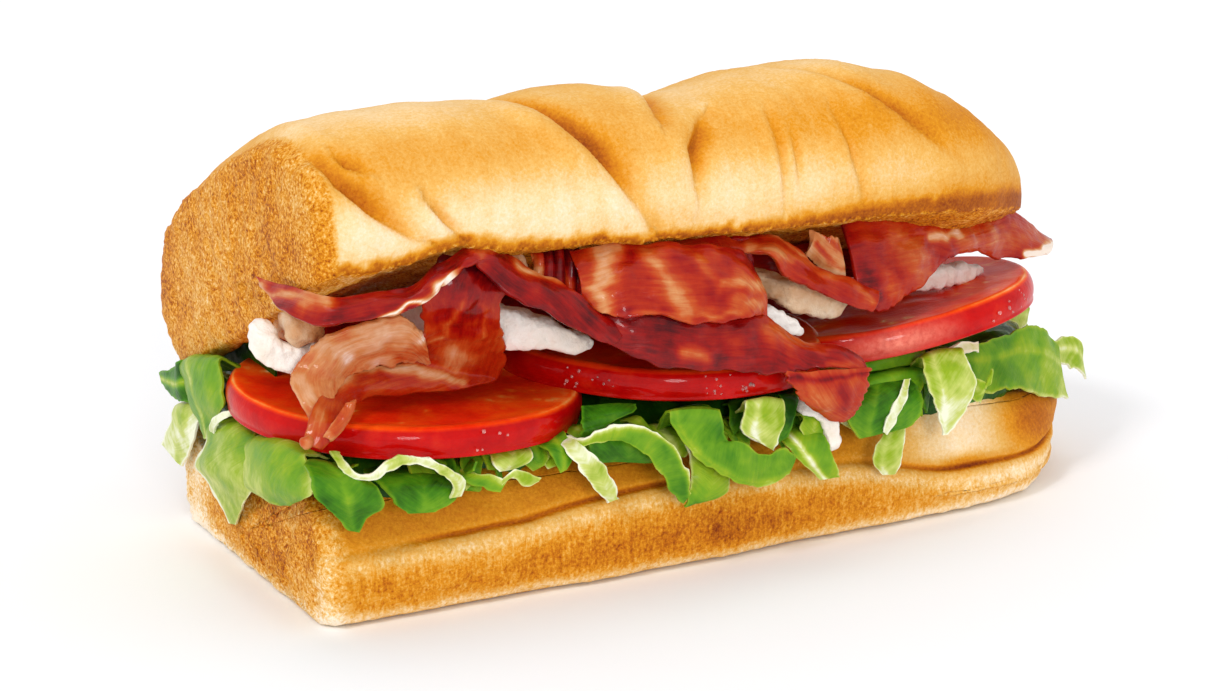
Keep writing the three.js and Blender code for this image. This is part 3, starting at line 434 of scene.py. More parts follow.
def ball(place, radius, segments, ring_count):
    """A small ball at a place in millimetres."""
    bpy.ops.object.select_all(action="DESELECT")
    settings = {"segments": segments, "ring_count": ring_count, "radius": radius * MM}
    bpy.ops.mesh.primitive_uv_sphere_add(location=[value * MM for value in place], **settings)
    bpy.ops.object.transform_apply(location=True, rotation=True, scale=True)
    return bpy.context.object


def dress(piece, look, slot, *nodes):
    """Gives a finished piece its material and smooth shading, and hides the CAD nodes that it stands for. The
    slot is not used.
    """
    piece.data.materials.clear()
    piece.data.materials.append(look)
    only(piece)
    bpy.ops.object.shade_smooth()
    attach(piece, "root")
    if nodes:
        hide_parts(*nodes)


def evenly(points, count):
    """A line of points spread again at even distances: (points, distance of each from the start)."""
    steps = np.linalg.norm(np.diff(points, axis=0), axis=1)
    walked = np.concatenate([[0], np.cumsum(steps)])
    wanted = np.linspace(0, walked[-1], count)
    return np.stack([np.interp(wanted, walked, points[:, n]) for n in range(3)], axis=1), wanted


# Roll: the top half leans open, and its cut underside falls toward the back
# Columns: x, front edge y, front edge z, lean in degrees, width along the cut, crown height
TOP_STATIONS = [
    [-77.5, -37, 66, 25, 87, 29.5],
    [-70, -37, 65.5, 24, 87, 34],
    [-60, -36.5, 66, 23.5, 87, 34.2],
    [-48, -36, 66.5, 23, 87, 34],
    [-34, -35.5, 66.5, 23, 87, 32.6],
    [-15, -35, 65, 23, 86, 35.5],
    [3, -35, 64.5, 23, 85, 32.4],
    [22, -35, 64, 23, 85, 36],
    [38, -35, 64, 23, 84, 36.8],
    [55, -34, 63, 22, 83, 34],
    [66, -33.5, 62.5, 20, 82, 30.5],
    [78, -33, 62, 18, 81, 24.5],
    [92, -32, 61, 14, 80, 18],
]
TOP_SQUARENESS = 3.1
TOP_ROUND_START = 46
TOP_ROUND_POWER = 2.15
TOP_TUCK = 4.5
TOP_TUCK_HEIGHT = 16
TOP_BULGE = 3.5
# How far the cut underside hangs below its edges: x, sag
CRUMB_SAG = [[-77.5, 2.2], [-62, -1.5], [44, -1.5], [66, 4.5], [92, 2.5]]
# Creases in the crust: depth, width, then places down the crease as x and distance round from the front edge
CREASES = [
    (3.0, 2.4, [(-76, 29), (-71.8, 17.5), (-67.4, 12.4), (-63, 8.2), (-58, 3.5)]),
    (1.5, 1.6, [(-70.5, 25), (-69, 21.4), (-66, 19)]),
    (2.0, 1.3, [(-56.5, 12.5), (-53.5, 7.5), (-50.3, 2)]),
    (3.0, 2.6, [(-33, 44), (-28.5, 32), (-22.5, 21), (-17.8, 14), (-11, 3)]),
    (2.8, 2.2, [(1, 47), (-1, 38), (-4.5, 25)]),
    (2.2, 2.2, [(5.5, 25), (-0.8, 17), (-1.4, 9.5)]),
    (0.9, 1.1, [(17.8, 24), (17.6, 14), (17.2, 4)]),
    (0.7, 1.0, [(21, 19), (20.5, 8)]),
    (0.9, 1.2, [(31.5, 23), (33, 12), (35, 3)]),
    (1.2, 2.0, [(28, 40), (42.5, 25), (48.5, 18.5), (57, 11)]),
]
RIM_ROUNDING = 2.5
# How far the front edge arches up over the bacon: x, lift
EDGE_LIFT = [
    [-77.5, 0],
    [-73, 1.4],
    [-66, 1.3],
    [-61, 1.5],
    [-56, 2.5],
    [-50, 2.8],
    [-45, 1.6],
    [-39, 0.3],
    [-30, 0],
    [-21, 1.1],
    [-13, 0.3],
    [92, 0],
]
EDGE_LIFT_REACH = 6


def round_end(x, start, tip, power):
    """How much of its full width the roll has at x: 1 up to start, then round to 0 at the tip."""
    past = clamp((x - start) / (tip - start))
    return clamp(1 - past**power) ** (1 / power)


def crease_depth(x, girth):
    """How far the crust is folded in: a groove with a steep upper side and a low swelling beside it."""
    depth = np.zeros_like(girth)
    for deep, wide, places in CREASES:
        nearest = np.full_like(girth, 1e6)
        aside, along = np.zeros_like(girth), np.zeros_like(girth)
        for k, ((x0, g0), (x1, g1)) in enumerate(zip(places, places[1:])):
            dx, dg = x1 - x0, g1 - g0
            held = clamp(((x - x0) * dx + (girth - g0) * dg) / (dx * dx + dg * dg))
            away = np.hypot(x - x0 - dx * held, girth - g0 - dg * held)
            closer = away < nearest
            above = np.sign((x - x0) * dg - (girth - g0) * dx)
            nearest = np.where(closer, away, nearest)
            aside = np.where(closer, above * away, aside)
            along = np.where(closer, (k + held) / (len(places) - 1), along)
        steep = np.where(aside > 0, 0.36 * wide, 1.25 * wide)
        fade = 0.25 + 0.75 * np.sin(np.pi * clamp(along, 0.05, 0.95))
        groove = near(aside, 0, steep)
        swelling = 0.35 * near(aside, 1.6 * wide, 1.1 * wide)
        depth += deep * fade * (groove - swelling)
    return depth


def top_point(x, station, turn, height):
    """Places on the leaning top half: turn runs 0 to 1 from front to back, and height is off the cut."""
    _, front_y, front_z, lean, width, _ = station
    a = np.radians(lean)
    y = front_y + turn * width * np.cos(a) + height * np.sin(a)
    z = front_z - turn * width * np.sin(a) + height * np.cos(a)
    return np.stack([np.full_like(y, x), y, z], axis=-1)


def top_ring(x, outer, under):
    """One ring round the top half at x: (points, distance round the crust, crease depth, middle)."""
    station = at_station(TOP_STATIONS, [x])[0]
    width, crown = station[4], station[5]
    end = float(round_end(np.array(float(x)), TOP_ROUND_START, TOP_TIP_X, TOP_ROUND_POWER))
    angle = np.linspace(0, np.pi, 241)
    side = np.sign(np.cos(angle)) * np.abs(np.cos(angle)) ** (2 / TOP_SQUARENESS)
    height = crown * end * clamp(np.sin(angle)) ** (2 / TOP_SQUARENESS)
    tuck = TOP_TUCK * clamp(1 - height / TOP_TUCK_HEIGHT) ** 2
    turn = 0.5 - 0.5 * side * end + np.sign(side) * end * (tuck - TOP_BULGE) / width
    arc, girth = evenly(top_point(x, station, turn, height), outer + 1)
    heart = top_point(x, station, np.array(0.5), np.array(crown * 0.3))
    lift = at_station(EDGE_LIFT, [x])[0][1]
    arc[:, 2] += lift * near(girth, 0, EDGE_LIFT_REACH)
    inward = heart - arc
    inward /= np.linalg.norm(inward, axis=1)[:, None] + 1e-9
    pressed = crease_depth(x, girth) * end
    arc = arc + inward * pressed[:, None]
    sag = at_station(CRUMB_SAG, [x])[0][1]
    t = np.arange(1, under + 1)[:, None] / under
    below = mix(arc[-1], arc[0], t)
    below[:, 2] -= (sag * np.sin(np.pi * t) ** 0.7 * end)[:, 0]
    ring = np.concatenate([arc, below])
    round_way = np.concatenate([girth, -1 - np.zeros(under)])
    return ring, round_way, np.concatenate([pressed, np.zeros(under)]), heart


def rings_along(ring_at, outer, under, steps, round_start, tip_x, crumb_fade):
    """Rings from the middle of the cut end out to its rim, then along the roll to its rounded tip.

    The steps are the rings on the cut end, along the roll and round its tip. The tables have a row for each
    ring: its points, how far round the ring each is, the third thing that ring_at gives, and how open the
    crumb is there, which is 1 on the cut end and fades over crumb_fade millimetres.
    """
    face, length, tip = steps
    start = CUT_X + RIM_ROUNDING
    rim, round_way, measure, heart = ring_at(start, outer, under)
    rings, ways, measures, cuts = [], [], [], []
    for k in range(face):
        s = k / face
        into = clamp((s - 0.9) / 0.1)
        ring = heart + (rim - heart) * s
        ring[:, 0] = CUT_X - CUT_BULGE * (1 - s * s) + RIM_ROUNDING * (1 - math.sqrt(1 - into**2))
        rings.append(ring)
        ways.append(round_way)
        measures.append(measure)
        cuts.append(np.full(len(ring), 1 - 0.3 * into))
    swing = np.linspace(0, 1, tip + 1)[1:]
    spots = list(np.linspace(start, round_start, length + 1))
    spots += list(round_start + (tip_x - round_start) * np.sin(swing * np.pi / 2))
    for x in spots:
        ring, round_way, measure, _ = ring_at(x, outer, under)
        rings.append(ring)
        ways.append(round_way)
        measures.append(measure)
        cuts.append(np.full(len(ring), 0.7 * clamp(1 - (x - start) / crumb_fade)))
    return [np.array(table) for table in (rings, ways, measures, cuts)]


def top_half(look):
    """The top of the roll: creased crust, brown along the front edge, and open crumb on the cut end."""
    outer, under = 200, 46
    steps = (26, 210, 50)
    piece, row, column = blank("top_half_of_roll", sum(steps), outer + under)
    tables = rings_along(top_ring, outer, under, steps, TOP_ROUND_START, TOP_TIP_X, 1.2)
    rings, ways, creased, faces = tables
    creased[: steps[0]] = 0
    place = (row, column)
    points = rings[place]
    move_to(piece, points)
    girth = ways[place]
    under_side = (girth < 0).astype(float)
    total = np.max(ways, axis=1)[row]
    cut = faces[place]
    crumb = np.maximum(cut, under_side)
    x = points[:, 0]
    crust = (girth >= 0).astype(float)
    front = near(girth, 7, 7.5) * crust
    middle = near(girth, 19, 7) * crust
    crest = near(girth, 38, 10) * crust
    right = clamp((x - 5) / 60)
    ragged = lumps(points, 1.5, 6, 2)
    wrinkle = lumps(np.stack([x / 1.1, girth / 9, 0 * x], axis=1), 1.0, 17, 2)
    wrinkle *= crust * clamp((34 - girth) / 8)
    brown = 0.38 - 0.2 * front * (1 - 0.3 * right) + 0.09 * middle - 0.12 * crest
    brown += 0.12 * right + 0.05 * lumps(points, 24, 3) + 0.03 * wrinkle
    brown += 0.2 * clamp((girth - 64) / 30)
    # The brown band along the front edge of the crust: real browning, widened near x = -50, where the edge
    # arches over the bacon, as painted shade.
    scorch_and_shade_width = 2.0 + 2.0 * right + 1.0 * near(x, -50, 8)
    brown += (0.5 - 0.22 * right) * clamp(1.2 - (girth - 0.9 * ragged) / scorch_and_shade_width) * crust
    brown += 0.26 * clamp((x - 8) / 35) * near(girth, 0, 5.5) * crust
    brown += 0.35 * clamp(1 - (total - girth) / 3.0) * crust
    # Painted shade in the crease grooves, and a little painted light on the swellings beside them.
    brown += 0.14 * np.maximum(creased[place], 0) + 0.05 * np.minimum(creased[place], 0)
    brown += 0.11 * near(x, -14, 13) * clamp((girth - 16) / 12)
    brown = np.minimum(brown, 0.78)
    greasy = 0.6 - 0.1 * clamp((-42 - x) / 8) + 0.1 * lumps(points, 6, 5, 2)
    brown = np.where(under_side > 0, greasy, brown)
    brown = mix(brown, 0.555 + 0.1 * lumps(points, 12, 9, 2), clamp(cut * 1.2))
    paint(piece, "browning", brown)
    paint(piece, "crumb", crumb * 0.9 + 0.1)
    weld(piece)
    points = corners(piece)
    rough = painted_on(piece, "crumb")
    relief = 0.35 * lumps(points, 14, 11, 2) + 0.06 * lumps(points, 2.2, 12, 2)
    relief += rough * (0.35 * lumps(points, 2.6, 13, 3) + 0.22 * lumps(points, 1.3, 14))
    pleats = lumps(points * [1, 0.15, 0.15], 1.2, 18, 2) * clamp((points[:, 0] + 5) / 15)
    relief += 0.12 * pleats * (1 - rough)
    push(piece, relief)
    dress(piece, look, "crust", "bun_top")
    return piece


# Columns: x, front y, back y, crease height, shoulder height, inner crumb height
BOTTOM_STATIONS = [
    [-77.5, -34.5, 38.5, 14, 23.5, 18],
    [-50, -35, 38.5, 14.5, 24, 13.5],
    [-10, -35.5, 38, 17.5, 24, 14],
    [30, -34.5, 37, 15.5, 24.5, 14],
    [60, -33.5, 36, 9.5, 24, 14.5],
    [80, -33, 35.5, 9, 20, 13.5],
    [101, -32, 35, 9.5, 15.5, 11],
]
BOTTOM_ROUND_START = 52
BOTTOM_ROUND_POWER = 2.8
BOTTOM_LIFT_START = 80
BOTTOM_LIFT = 3
BOTTOM_OVERHANG = 14
BOTTOM_OVERHANG_HEIGHT = 15


def bottom_outline(station):
    """The bottom half across: y and z from the front foot up, over the hollow and down to the back foot."""
    _, front, back, crease, shoulder, inner = station
    return np.array(
        [
            [front + 3, 0],
            [front + 0.8, 1.2],
            [front - 0.6, 5],
            [front - 0.9, crease - 5],
            [front - 0.2, crease - 1.6],
            [front + 1.1, crease],
            [front + 1.6, crease + 1.4],
            [front + 3.6, mix(crease, shoulder, 0.62)],
            [front + 6.4, shoulder - 0.4],
            [front + 9.5, shoulder],
            [front + 14, shoulder - 2.6],
            [front + 22, inner + 1.6],
            [front + 34, inner],
            [back - 20, inner],
            [back - 10, inner + 1.2],
            [back - 4, inner + 3.4],
            [back - 1.2, inner + 2.8],
            [back + 0.6, inner - 1.6],
            [back + 0.8, 6.5],
            [back - 0.4, 1.6],
            [back - 3, 0],
        ]
    )


def bottom_ring(x, outer, under):
    """One ring round the bottom half at x: (points, distance round it, height above the crease, middle)."""
    station = at_station(BOTTOM_STATIONS, [x])[0]
    end = float(round_end(np.array(float(x)), BOTTOM_ROUND_START, BOTTOM_TIP_X, BOTTOM_ROUND_POWER))
    middle = (station[1] + station[2]) / 2
    past = float(clamp((x - BOTTOM_LIFT_START) / (BOTTOM_TIP_X - BOTTOM_LIFT_START)))
    lift = BOTTOM_LIFT * past**1.6
    lean = BOTTOM_OVERHANG * (1 - end) ** 0.7
    y, z = along_rows(bottom_outline(station), np.linspace(0, 1, 241)).T
    z = np.maximum(z, 0)
    low = clamp(1 - z / BOTTOM_OVERHANG_HEIGHT)
    spots = np.stack([x - lean * low, middle + (y - middle) * end, lift * (1 - z / 30) + z], axis=1)
    walked = np.concatenate([[0], np.cumsum(np.hypot(np.diff(y), np.diff(z)))])
    wanted = np.interp(np.linspace(0, 1, outer + 1), [0, 0.6, 1], [0, 34, walked[-1]])
    line = np.stack([np.interp(wanted, walked, spots[:, n]) for n in range(3)], axis=1)
    t = np.arange(1, under + 1)[:, None] / under
    floor = mix(line[-1], line[0], t)
    ring = np.concatenate([line, floor])
    heart = np.array([x, middle, 8.0])
    above_crease = np.concatenate([line[:, 2] - station[3] - lift, np.full(under, -station[3])])
    return ring, np.concatenate([wanted, np.full(under, -1.0)]), above_crease, heart


def bottom_half(look):
    """The bottom of the roll: hollowed on top, with a crease along its front wall, painted dark as shade, and
    a lip below it painted pale as a highlight.
    """
    outer, under = 210, 30
    steps = (24, 180, 50)
    piece, row, column = blank("bottom_half_of_roll", sum(steps), outer + under)
    tables = rings_along(bottom_ring, outer, under, steps, BOTTOM_ROUND_START, BOTTOM_TIP_X, 3.0)
    rings, ways, heights, faces = tables
    place = (row, column)
    points = rings[place]
    move_to(piece, points)
    girth, above, cut = ways[place], heights[place], faces[place]
    x = points[:, 0]
    inside = (girth > 38) & (girth < 97)
    front = (girth >= 0) & (girth < 38)
    wall = clamp(-above / 3) * front
    # Painted shade: a thin dark line along the crease.
    line = near(above + 0.2 * lumps(points, 7, 28), 0, 0.38) * front
    line *= clamp((x + 64) / 12, 0.12, 1) * (1 - 0.8 * near(x, 26, 20))
    # Painted highlight: the band just under the crease, where the wall bulges out, is made paler.
    lip = near(above, -2.6, 1.7) * front
    ledge = clamp(above / 2) * front
    heel = near(x, 62, 15)
    # Painted shade: the hollows on the front near the rounded end are made browner.
    hollow = 0.55 * near(x, 80, 9) * near(points[:, 2], 16, 5) * front
    hollow += near(x, 62, 7) * near(above, 1.2, 1.5) * front
    brown = 0.5 + 0.05 * lumps(points, 18, 21, 2) + 0.1 * ledge * (1 - heel) + 0.3 * line - 0.17 * lip
    caught = 0.35 + 0.65 * near(x, -8, 34)
    brown += 0.17 * caught * wall * near(points[:, 2], 7, 4.5)
    brown -= 0.12 * clamp((x - 30) / 40) * wall
    brown -= 0.28 * near(points[:, 2], 1.2, 1.4) * front
    # Less brown on the heel, and a stronger painted highlight under the crease near x = 78.
    brown -= 0.36 * heel * ledge + 0.1 * near(x, 78, 12) * lip
    brown += 0.3 * hollow
    brown = np.where(inside, 0.3 + 0.1 * lumps(points, 5, 22, 2), brown)
    end_face = 0.58 + 0.14 * lumps(points, 9, 23, 2)
    end_face -= 0.4 * near(points[:, 2], 0, 3.2)
    end_face -= 0.25 * near(points[:, 1], -33, 3.5)
    end_face -= 0.3 * clamp((points[:, 1] - 16) / 8)
    brown = mix(brown, end_face, clamp(cut * 1.2))
    paint(piece, "browning", brown)
    paint(piece, "fibre", 0.45 * wall * (1 - clamp(cut * 1.2)))
    paint(piece, "crease", line)
    paint(piece, "crumb", np.maximum(np.maximum(cut, inside * 0.8), 0.3 * wall) * 0.9 + 0.1)
    weld(piece)
    points = corners(piece)
    rough = painted_on(piece, "crumb")
    relief = 0.4 * lumps(points, 16, 24, 2) + 0.08 * lumps(points, 2.0, 25, 2)
    relief += rough * (0.4 * lumps(points, 2.4, 26, 3) + 0.2 * lumps(points, 1.2, 27))
    relief -= 0.7 * painted_on(piece, "crease")
    relief *= clamp(points[:, 2] / 0.8)
    push(piece, relief)
    dress(piece, look, "crust", "bun_bottom")
    return piece


# Tomato slices: centre, then how much the slice falls toward +X and toward +Y
TOMATOES = {
    "tomato_left": ((-49, -6, 33.4), 0.05, -0.01),
    "tomato_middle": ((5.5, -5.5, 35.6), 0.05, 0.02),
    "tomato_right": ((57.5, -2.5, 35), -0.138, 0.15),
}
# How far the flesh of each slice has ripened to the crimson of its skin
RIPENESS = {"tomato_left": 0.05, "tomato_middle": 0.5, "tomato_right": 0.2}
# Water on the rims: how many drops, then the angles round the slice they lie between, in degrees
DROPS = {"tomato_left": (5, -95, -80), "tomato_middle": (60, -150, -75), "tomato_right": (26, -75, -25)}


def tomato_frame(name):
    """The middle of a slice, and the turn from a level slice to this one."""
    centre, fall_x, fall_y = TOMATOES[name]
    up = Vector((fall_x, fall_y, 1)).normalized()
    turn = np.array(Vector((0, 0, 1)).rotation_difference(up).to_matrix())
    return np.array(centre, float), turn


def tomato_slice(name, seed, look):
    """A slice through a tomato: a skin wall, firm flesh, and seed pockets round the middle."""
    half = TOMATO_THICKNESS / 2
    bevel = 1.1
    r = TOMATO_RADIUS
    profile = [
        [0, -half],
        [0.6 * r, -half],
        [r - bevel * 1.6, -half],
        [r - 0.45, -half + bevel],
        [r, 0],
        [r - 0.4, half - bevel],
        [r - bevel * 1.5, half],
        [r - 5, half - 0.25],
        [0.6 * r, half - 0.4],
        [0, half - 0.3],
    ]
    around, out = 144, 60
    piece, row, column = blank(name + "_slice", around, out)
    steps = np.array([0, 8, 16, 21, 26, 31, 36, 42, 50, 60]) / 60
    lanes = np.linspace(0, 1, out + 1)
    spread = np.interp(lanes, steps, np.linspace(0, 1, len(profile)))
    line = along_rows(profile, spread)
    radius, z = np.maximum(line[column, 0], 0), line[column, 1]
    angle = row / around * 2 * np.pi
    centre, turn = tomato_frame(name)
    uneven = 1 + 0.012 * np.cos(3 * angle + centre[0]) + 0.008 * np.sin(5 * angle)
    points = np.stack([radius * uneven * np.cos(angle), radius * uneven * np.sin(angle), z], axis=1)
    top = clamp((z - 1.5) * 2)
    dips = lumps(points, 9, seed, 2)
    points[:, 2] += top * 0.35 * dips * clamp((r - radius) / 5)
    skin = clamp((radius - (r - 1.6)) / 0.8) * clamp((half - 0.4 - z) / 0.6 + 0.4)
    wall = near(radius, r - 3, 2.5)
    pale = 0.32 + 0.14 * wall + 0.14 * dips + 0.12 * near(radius, 0, 9)
    # A pale line along the cut top edge of the rim: partly the paler flesh just inside the skin, partly a
    # painted highlight, stronger at some places round the slice.
    cut_edge = near(radius, r - 1.25, 0.33) * (z > half - 1.2)
    pale += cut_edge * (0.2 + 0.24 * np.sin(2 * angle + 0.6 * centre[0]))
    skin = skin * (1 - 0.8 * cut_edge)
    pockets = clamp(np.cos(7 * angle + 1.3 * np.sin(3 * angle)) * 2 + 0.2)
    pockets *= near(radius, 24, 5.5)
    seeds = clamp((lumps(points, 1.9, seed + 5) - 0.4) * 5) * pockets * (z > 0)
    pale += 0.55 * seeds + 0.16 * pockets * (z > 0)
    # A pinkish matt band on the front of the right slice's skin.
    reach = clamp(1 - np.abs((np.degrees(angle) + 180) % 360 - 180 + 112) / 26)
    bloom = 1.6 * reach * near(z, 0, 2.2) * (radius > r - 2)
    paint(piece, "bloom", bloom * (name == "tomato_right"))
    # Painted shade and juice stain under the hanging bacon: the flat of the left slice is made crimson there.
    shade_and_juice_under_drape = 0.4 * near(points[:, 0], -3, 11) * near(points[:, 1], -16, 5)
    skin = np.maximum(skin, shade_and_juice_under_drape * (name == "tomato_left") * (z > 0))
    paint(piece, "skin", np.maximum(skin, RIPENESS[name]))
    paint(piece, "pale", pale)
    move_to(piece, points @ turn.T + centre)
    weld(piece)
    dress(piece, look, "tomato", name)
    return piece


def drops(look):
    """Small beads of water that stand on the rims of the slices."""
    rng = np.random.default_rng(5)
    beads = []
    for name, (count, first, last) in DROPS.items():
        centre, turn = tomato_frame(name)
        for _ in range(count):
            angle = math.radians(rng.uniform(first, last))
            height = rng.uniform(-1.6, 2.0)
            away = TOMATO_RADIUS - 0.05 - 0.12 * height**2
            place = turn @ np.array([away * math.cos(angle), away * math.sin(angle), height]) + centre
            beads.append(ball(place, rng.uniform(0.2, 0.4), 12, 8))
    dress(joined("water_drops", beads), look, "tomato")


# Bacon strips: x, y, z of one edge, then x, y, z of the other, from one end of the strip to the other
BACON = {
    "crest": [
        [-80.5, -13, 61.5, -80.5, -15, 60.5], [-78.5, -24, 62, -81.5, -28, 59],
        [-75.5, -35, 62.8, -79, -38.5, 58.5], [-66, -35.5, 62, -72, -39.5, 59],
        [-59, -35, 62.6, -64.5, -39, 59], [-53.5, -33.5, 65.6, -58, -38, 60.6],
        [-47.5, -32.5, 67.6, -52, -37, 64.6], [-43.5, -32, 67, -48, -36, 65.4],
        [-38.5, -31, 64.5, -47, -35, 64.5], [-34, -33, 61.5, -42.5, -37, 59.5],
        [-28.5, -35, 58, -36, -38, 55.5], [-24, -37, 54, -28.5, -39, 51],
        [-19, -38, 49.5, -22, -39, 47.5],
    ],
    "ruffle": [
        [-32, -27, 64.5, -33, -29, 59], [-28.5, -27, 64, -29.5, -31, 55.5],
        [-24, -28, 63.5, -26, -32, 53], [-19, -30, 62, -21, -34, 51],
    ],
    "back": [
        [-6, -28, 62.5, -6, -30, 61], [4, -28, 62, 3, -31, 59.5], [10, -27, 61.5, 9, -30, 59],
        [18.5, -27, 60.5, 15.5, -31, 58], [23.5, -28, 57.5, 19, -32, 54], [28.5, -29, 53.5, 24, -33, 51],
        [34.5, -30, 50.5, 31, -33, 47.5], [41, -31, 48, 38, -33, 44.5],
    ],
    "behind": [
        [8, -27.5, 62, 14, -27.5, 61.5], [9, -26, 56, 14, -27, 57], [11, -27, 50, 15, -28, 51],
    ],
    "leaf": [
        [27, -26, 56, 28.5, -26, 60.5], [30, -27, 53, 32, -27, 59], [34.5, -28, 50.5, 34.5, -26, 58],
    ],
    "right": [
        [36, -24, 60.5, 36, -31, 46.5], [46, -23, 60, 41.5, -31, 43.5], [53.5, -22, 59.5, 47, -30, 45],
        [61, -20, 58.5, 55, -26, 47.5], [67, -18, 55, 61.5, -23, 50.5], [76, -14, 54.5, 70, -20, 50],
        [86, -10, 55, 79, -17, 47], [93.5, -8, 50, 86, -15, 45.5], [99, -7, 46, 95, -11, 45],
    ],
    "inner": [
        [-72, 6, 50, -72, -2, 41], [-58, -4, 52, -60, -10, 40], [-44, 6, 50, -46, 2, 40],
        [-30, -6, 52, -31, -12, 41], [-14, 4, 50, -16, -2, 42], [2, -6, 52, 0, -12, 42],
        [18, 4, 50, 17, -2, 41], [34, -6, 52, 33, -12, 40], [50, 4, 49, 49, -2, 42],
        [66, -2, 50, 66, -6, 43], [78, 2, 50, 79, -2, 45],
    ],
    "drape_down": [
        [-52, -30.5, 66, -43, -30.5, 63.6], [-54.5, -31.5, 63.6, -40.5, -31.8, 61.6],
        [-56, -32.6, 61, -40, -32.6, 59.4], [-56.5, -32, 58.5, -41, -32, 57],
        [-55.5, -29.5, 55, -40, -30, 53], [-54.5, -27, 51.5, -38, -27, 49], [-54, -24, 48, -36, -23, 44],
        [-53.5, -21.5, 45, -36, -20, 38.5], [-56, -20.5, 44, -43, -22, 38],
        [-63.5, -21, 44, -54.5, -22.5, 38.6], [-70, -24, 43.5, -63.5, -23.5, 39.4],
        [-75.5, -29, 42.5, -69.5, -28, 39.4], [-79, -32.5, 39.5, -74.5, -33.5, 38],
        [-80.5, -33.5, 36, -78, -34.5, 35],
    ],
    "drape_petal": [
        [-71, -33.8, 42.8, -72.2, -33.8, 42.6], [-71.4, -34.6, 40.8, -74, -34.4, 40.8],
        [-73.5, -35, 38.6, -76, -34.8, 38.8], [-76.5, -35.4, 36.9, -77.3, -35.2, 37.2],
    ],
    "drape_panel": [
        [-77, -30.5, 38.5, -75.5, -30, 39], [-79, -26, 43, -72.5, -28, 41.5],
        [-78.5, -24, 46, -68.5, -24.5, 43.6], [-76, -24.5, 49.5, -65.5, -23, 44.2],
        [-73, -27, 53, -62, -22, 44.6], [-65, -28, 55.5, -57.5, -21.5, 44.6],
        [-58.5, -28, 55, -53.5, -21.5, 44.4], [-54.5, -27, 51, -51, -22, 44.4],
    ],
    "broad_upper": [
        [-25.5, -29, 63, -26, -35, 55], [-22, -30, 63.5, -23, -38, 53.5],
        [-16, -31, 64.5, -19.5, -40, 52.5], [-9, -32, 63.5, -13.5, -41, 52.5],
        [-2, -32, 62.5, -8, -42, 50.5], [4.5, -32, 61.5, -3, -42, 50], [8.5, -32, 60.5, 3, -41, 49.5],
        [10.5, -33, 58, 7.5, -39, 49.5], [11.5, -34, 54.5, 11.5, -37, 48.5],
    ],
    "broad_lower": [
        [-24, -33, 54.5, -26, -35, 50], [-20.5, -37, 54.5, -19.5, -39, 46],
        [-13.5, -38, 53.5, -13, -41, 43], [-6, -39, 51.5, -5, -41.5, 41],
        [2.5, -38, 50.5, 3.5, -42, 39.5], [10, -36, 49, 10.5, -42, 38.5], [14.5, -36, 46, 15.5, -42, 38],
        [19.5, -37, 42.5, 21, -42, 38], [25.5, -38, 40.5, 26.5, -42.2, 37],
        [31.5, -39.5, 37.5, 31, -42.5, 35.5],
    ],
    "broad_flap": [
        [12.5, -42, 38.6, 31.5, -42, 36.4], [14, -43, 36, 31, -43, 33.5],
        [16.5, -43, 32.5, 29.5, -43, 30.5], [20, -42, 30, 28.5, -42, 28.5],
        [24, -41, 27.5, 26.5, -41, 27],
    ],
}
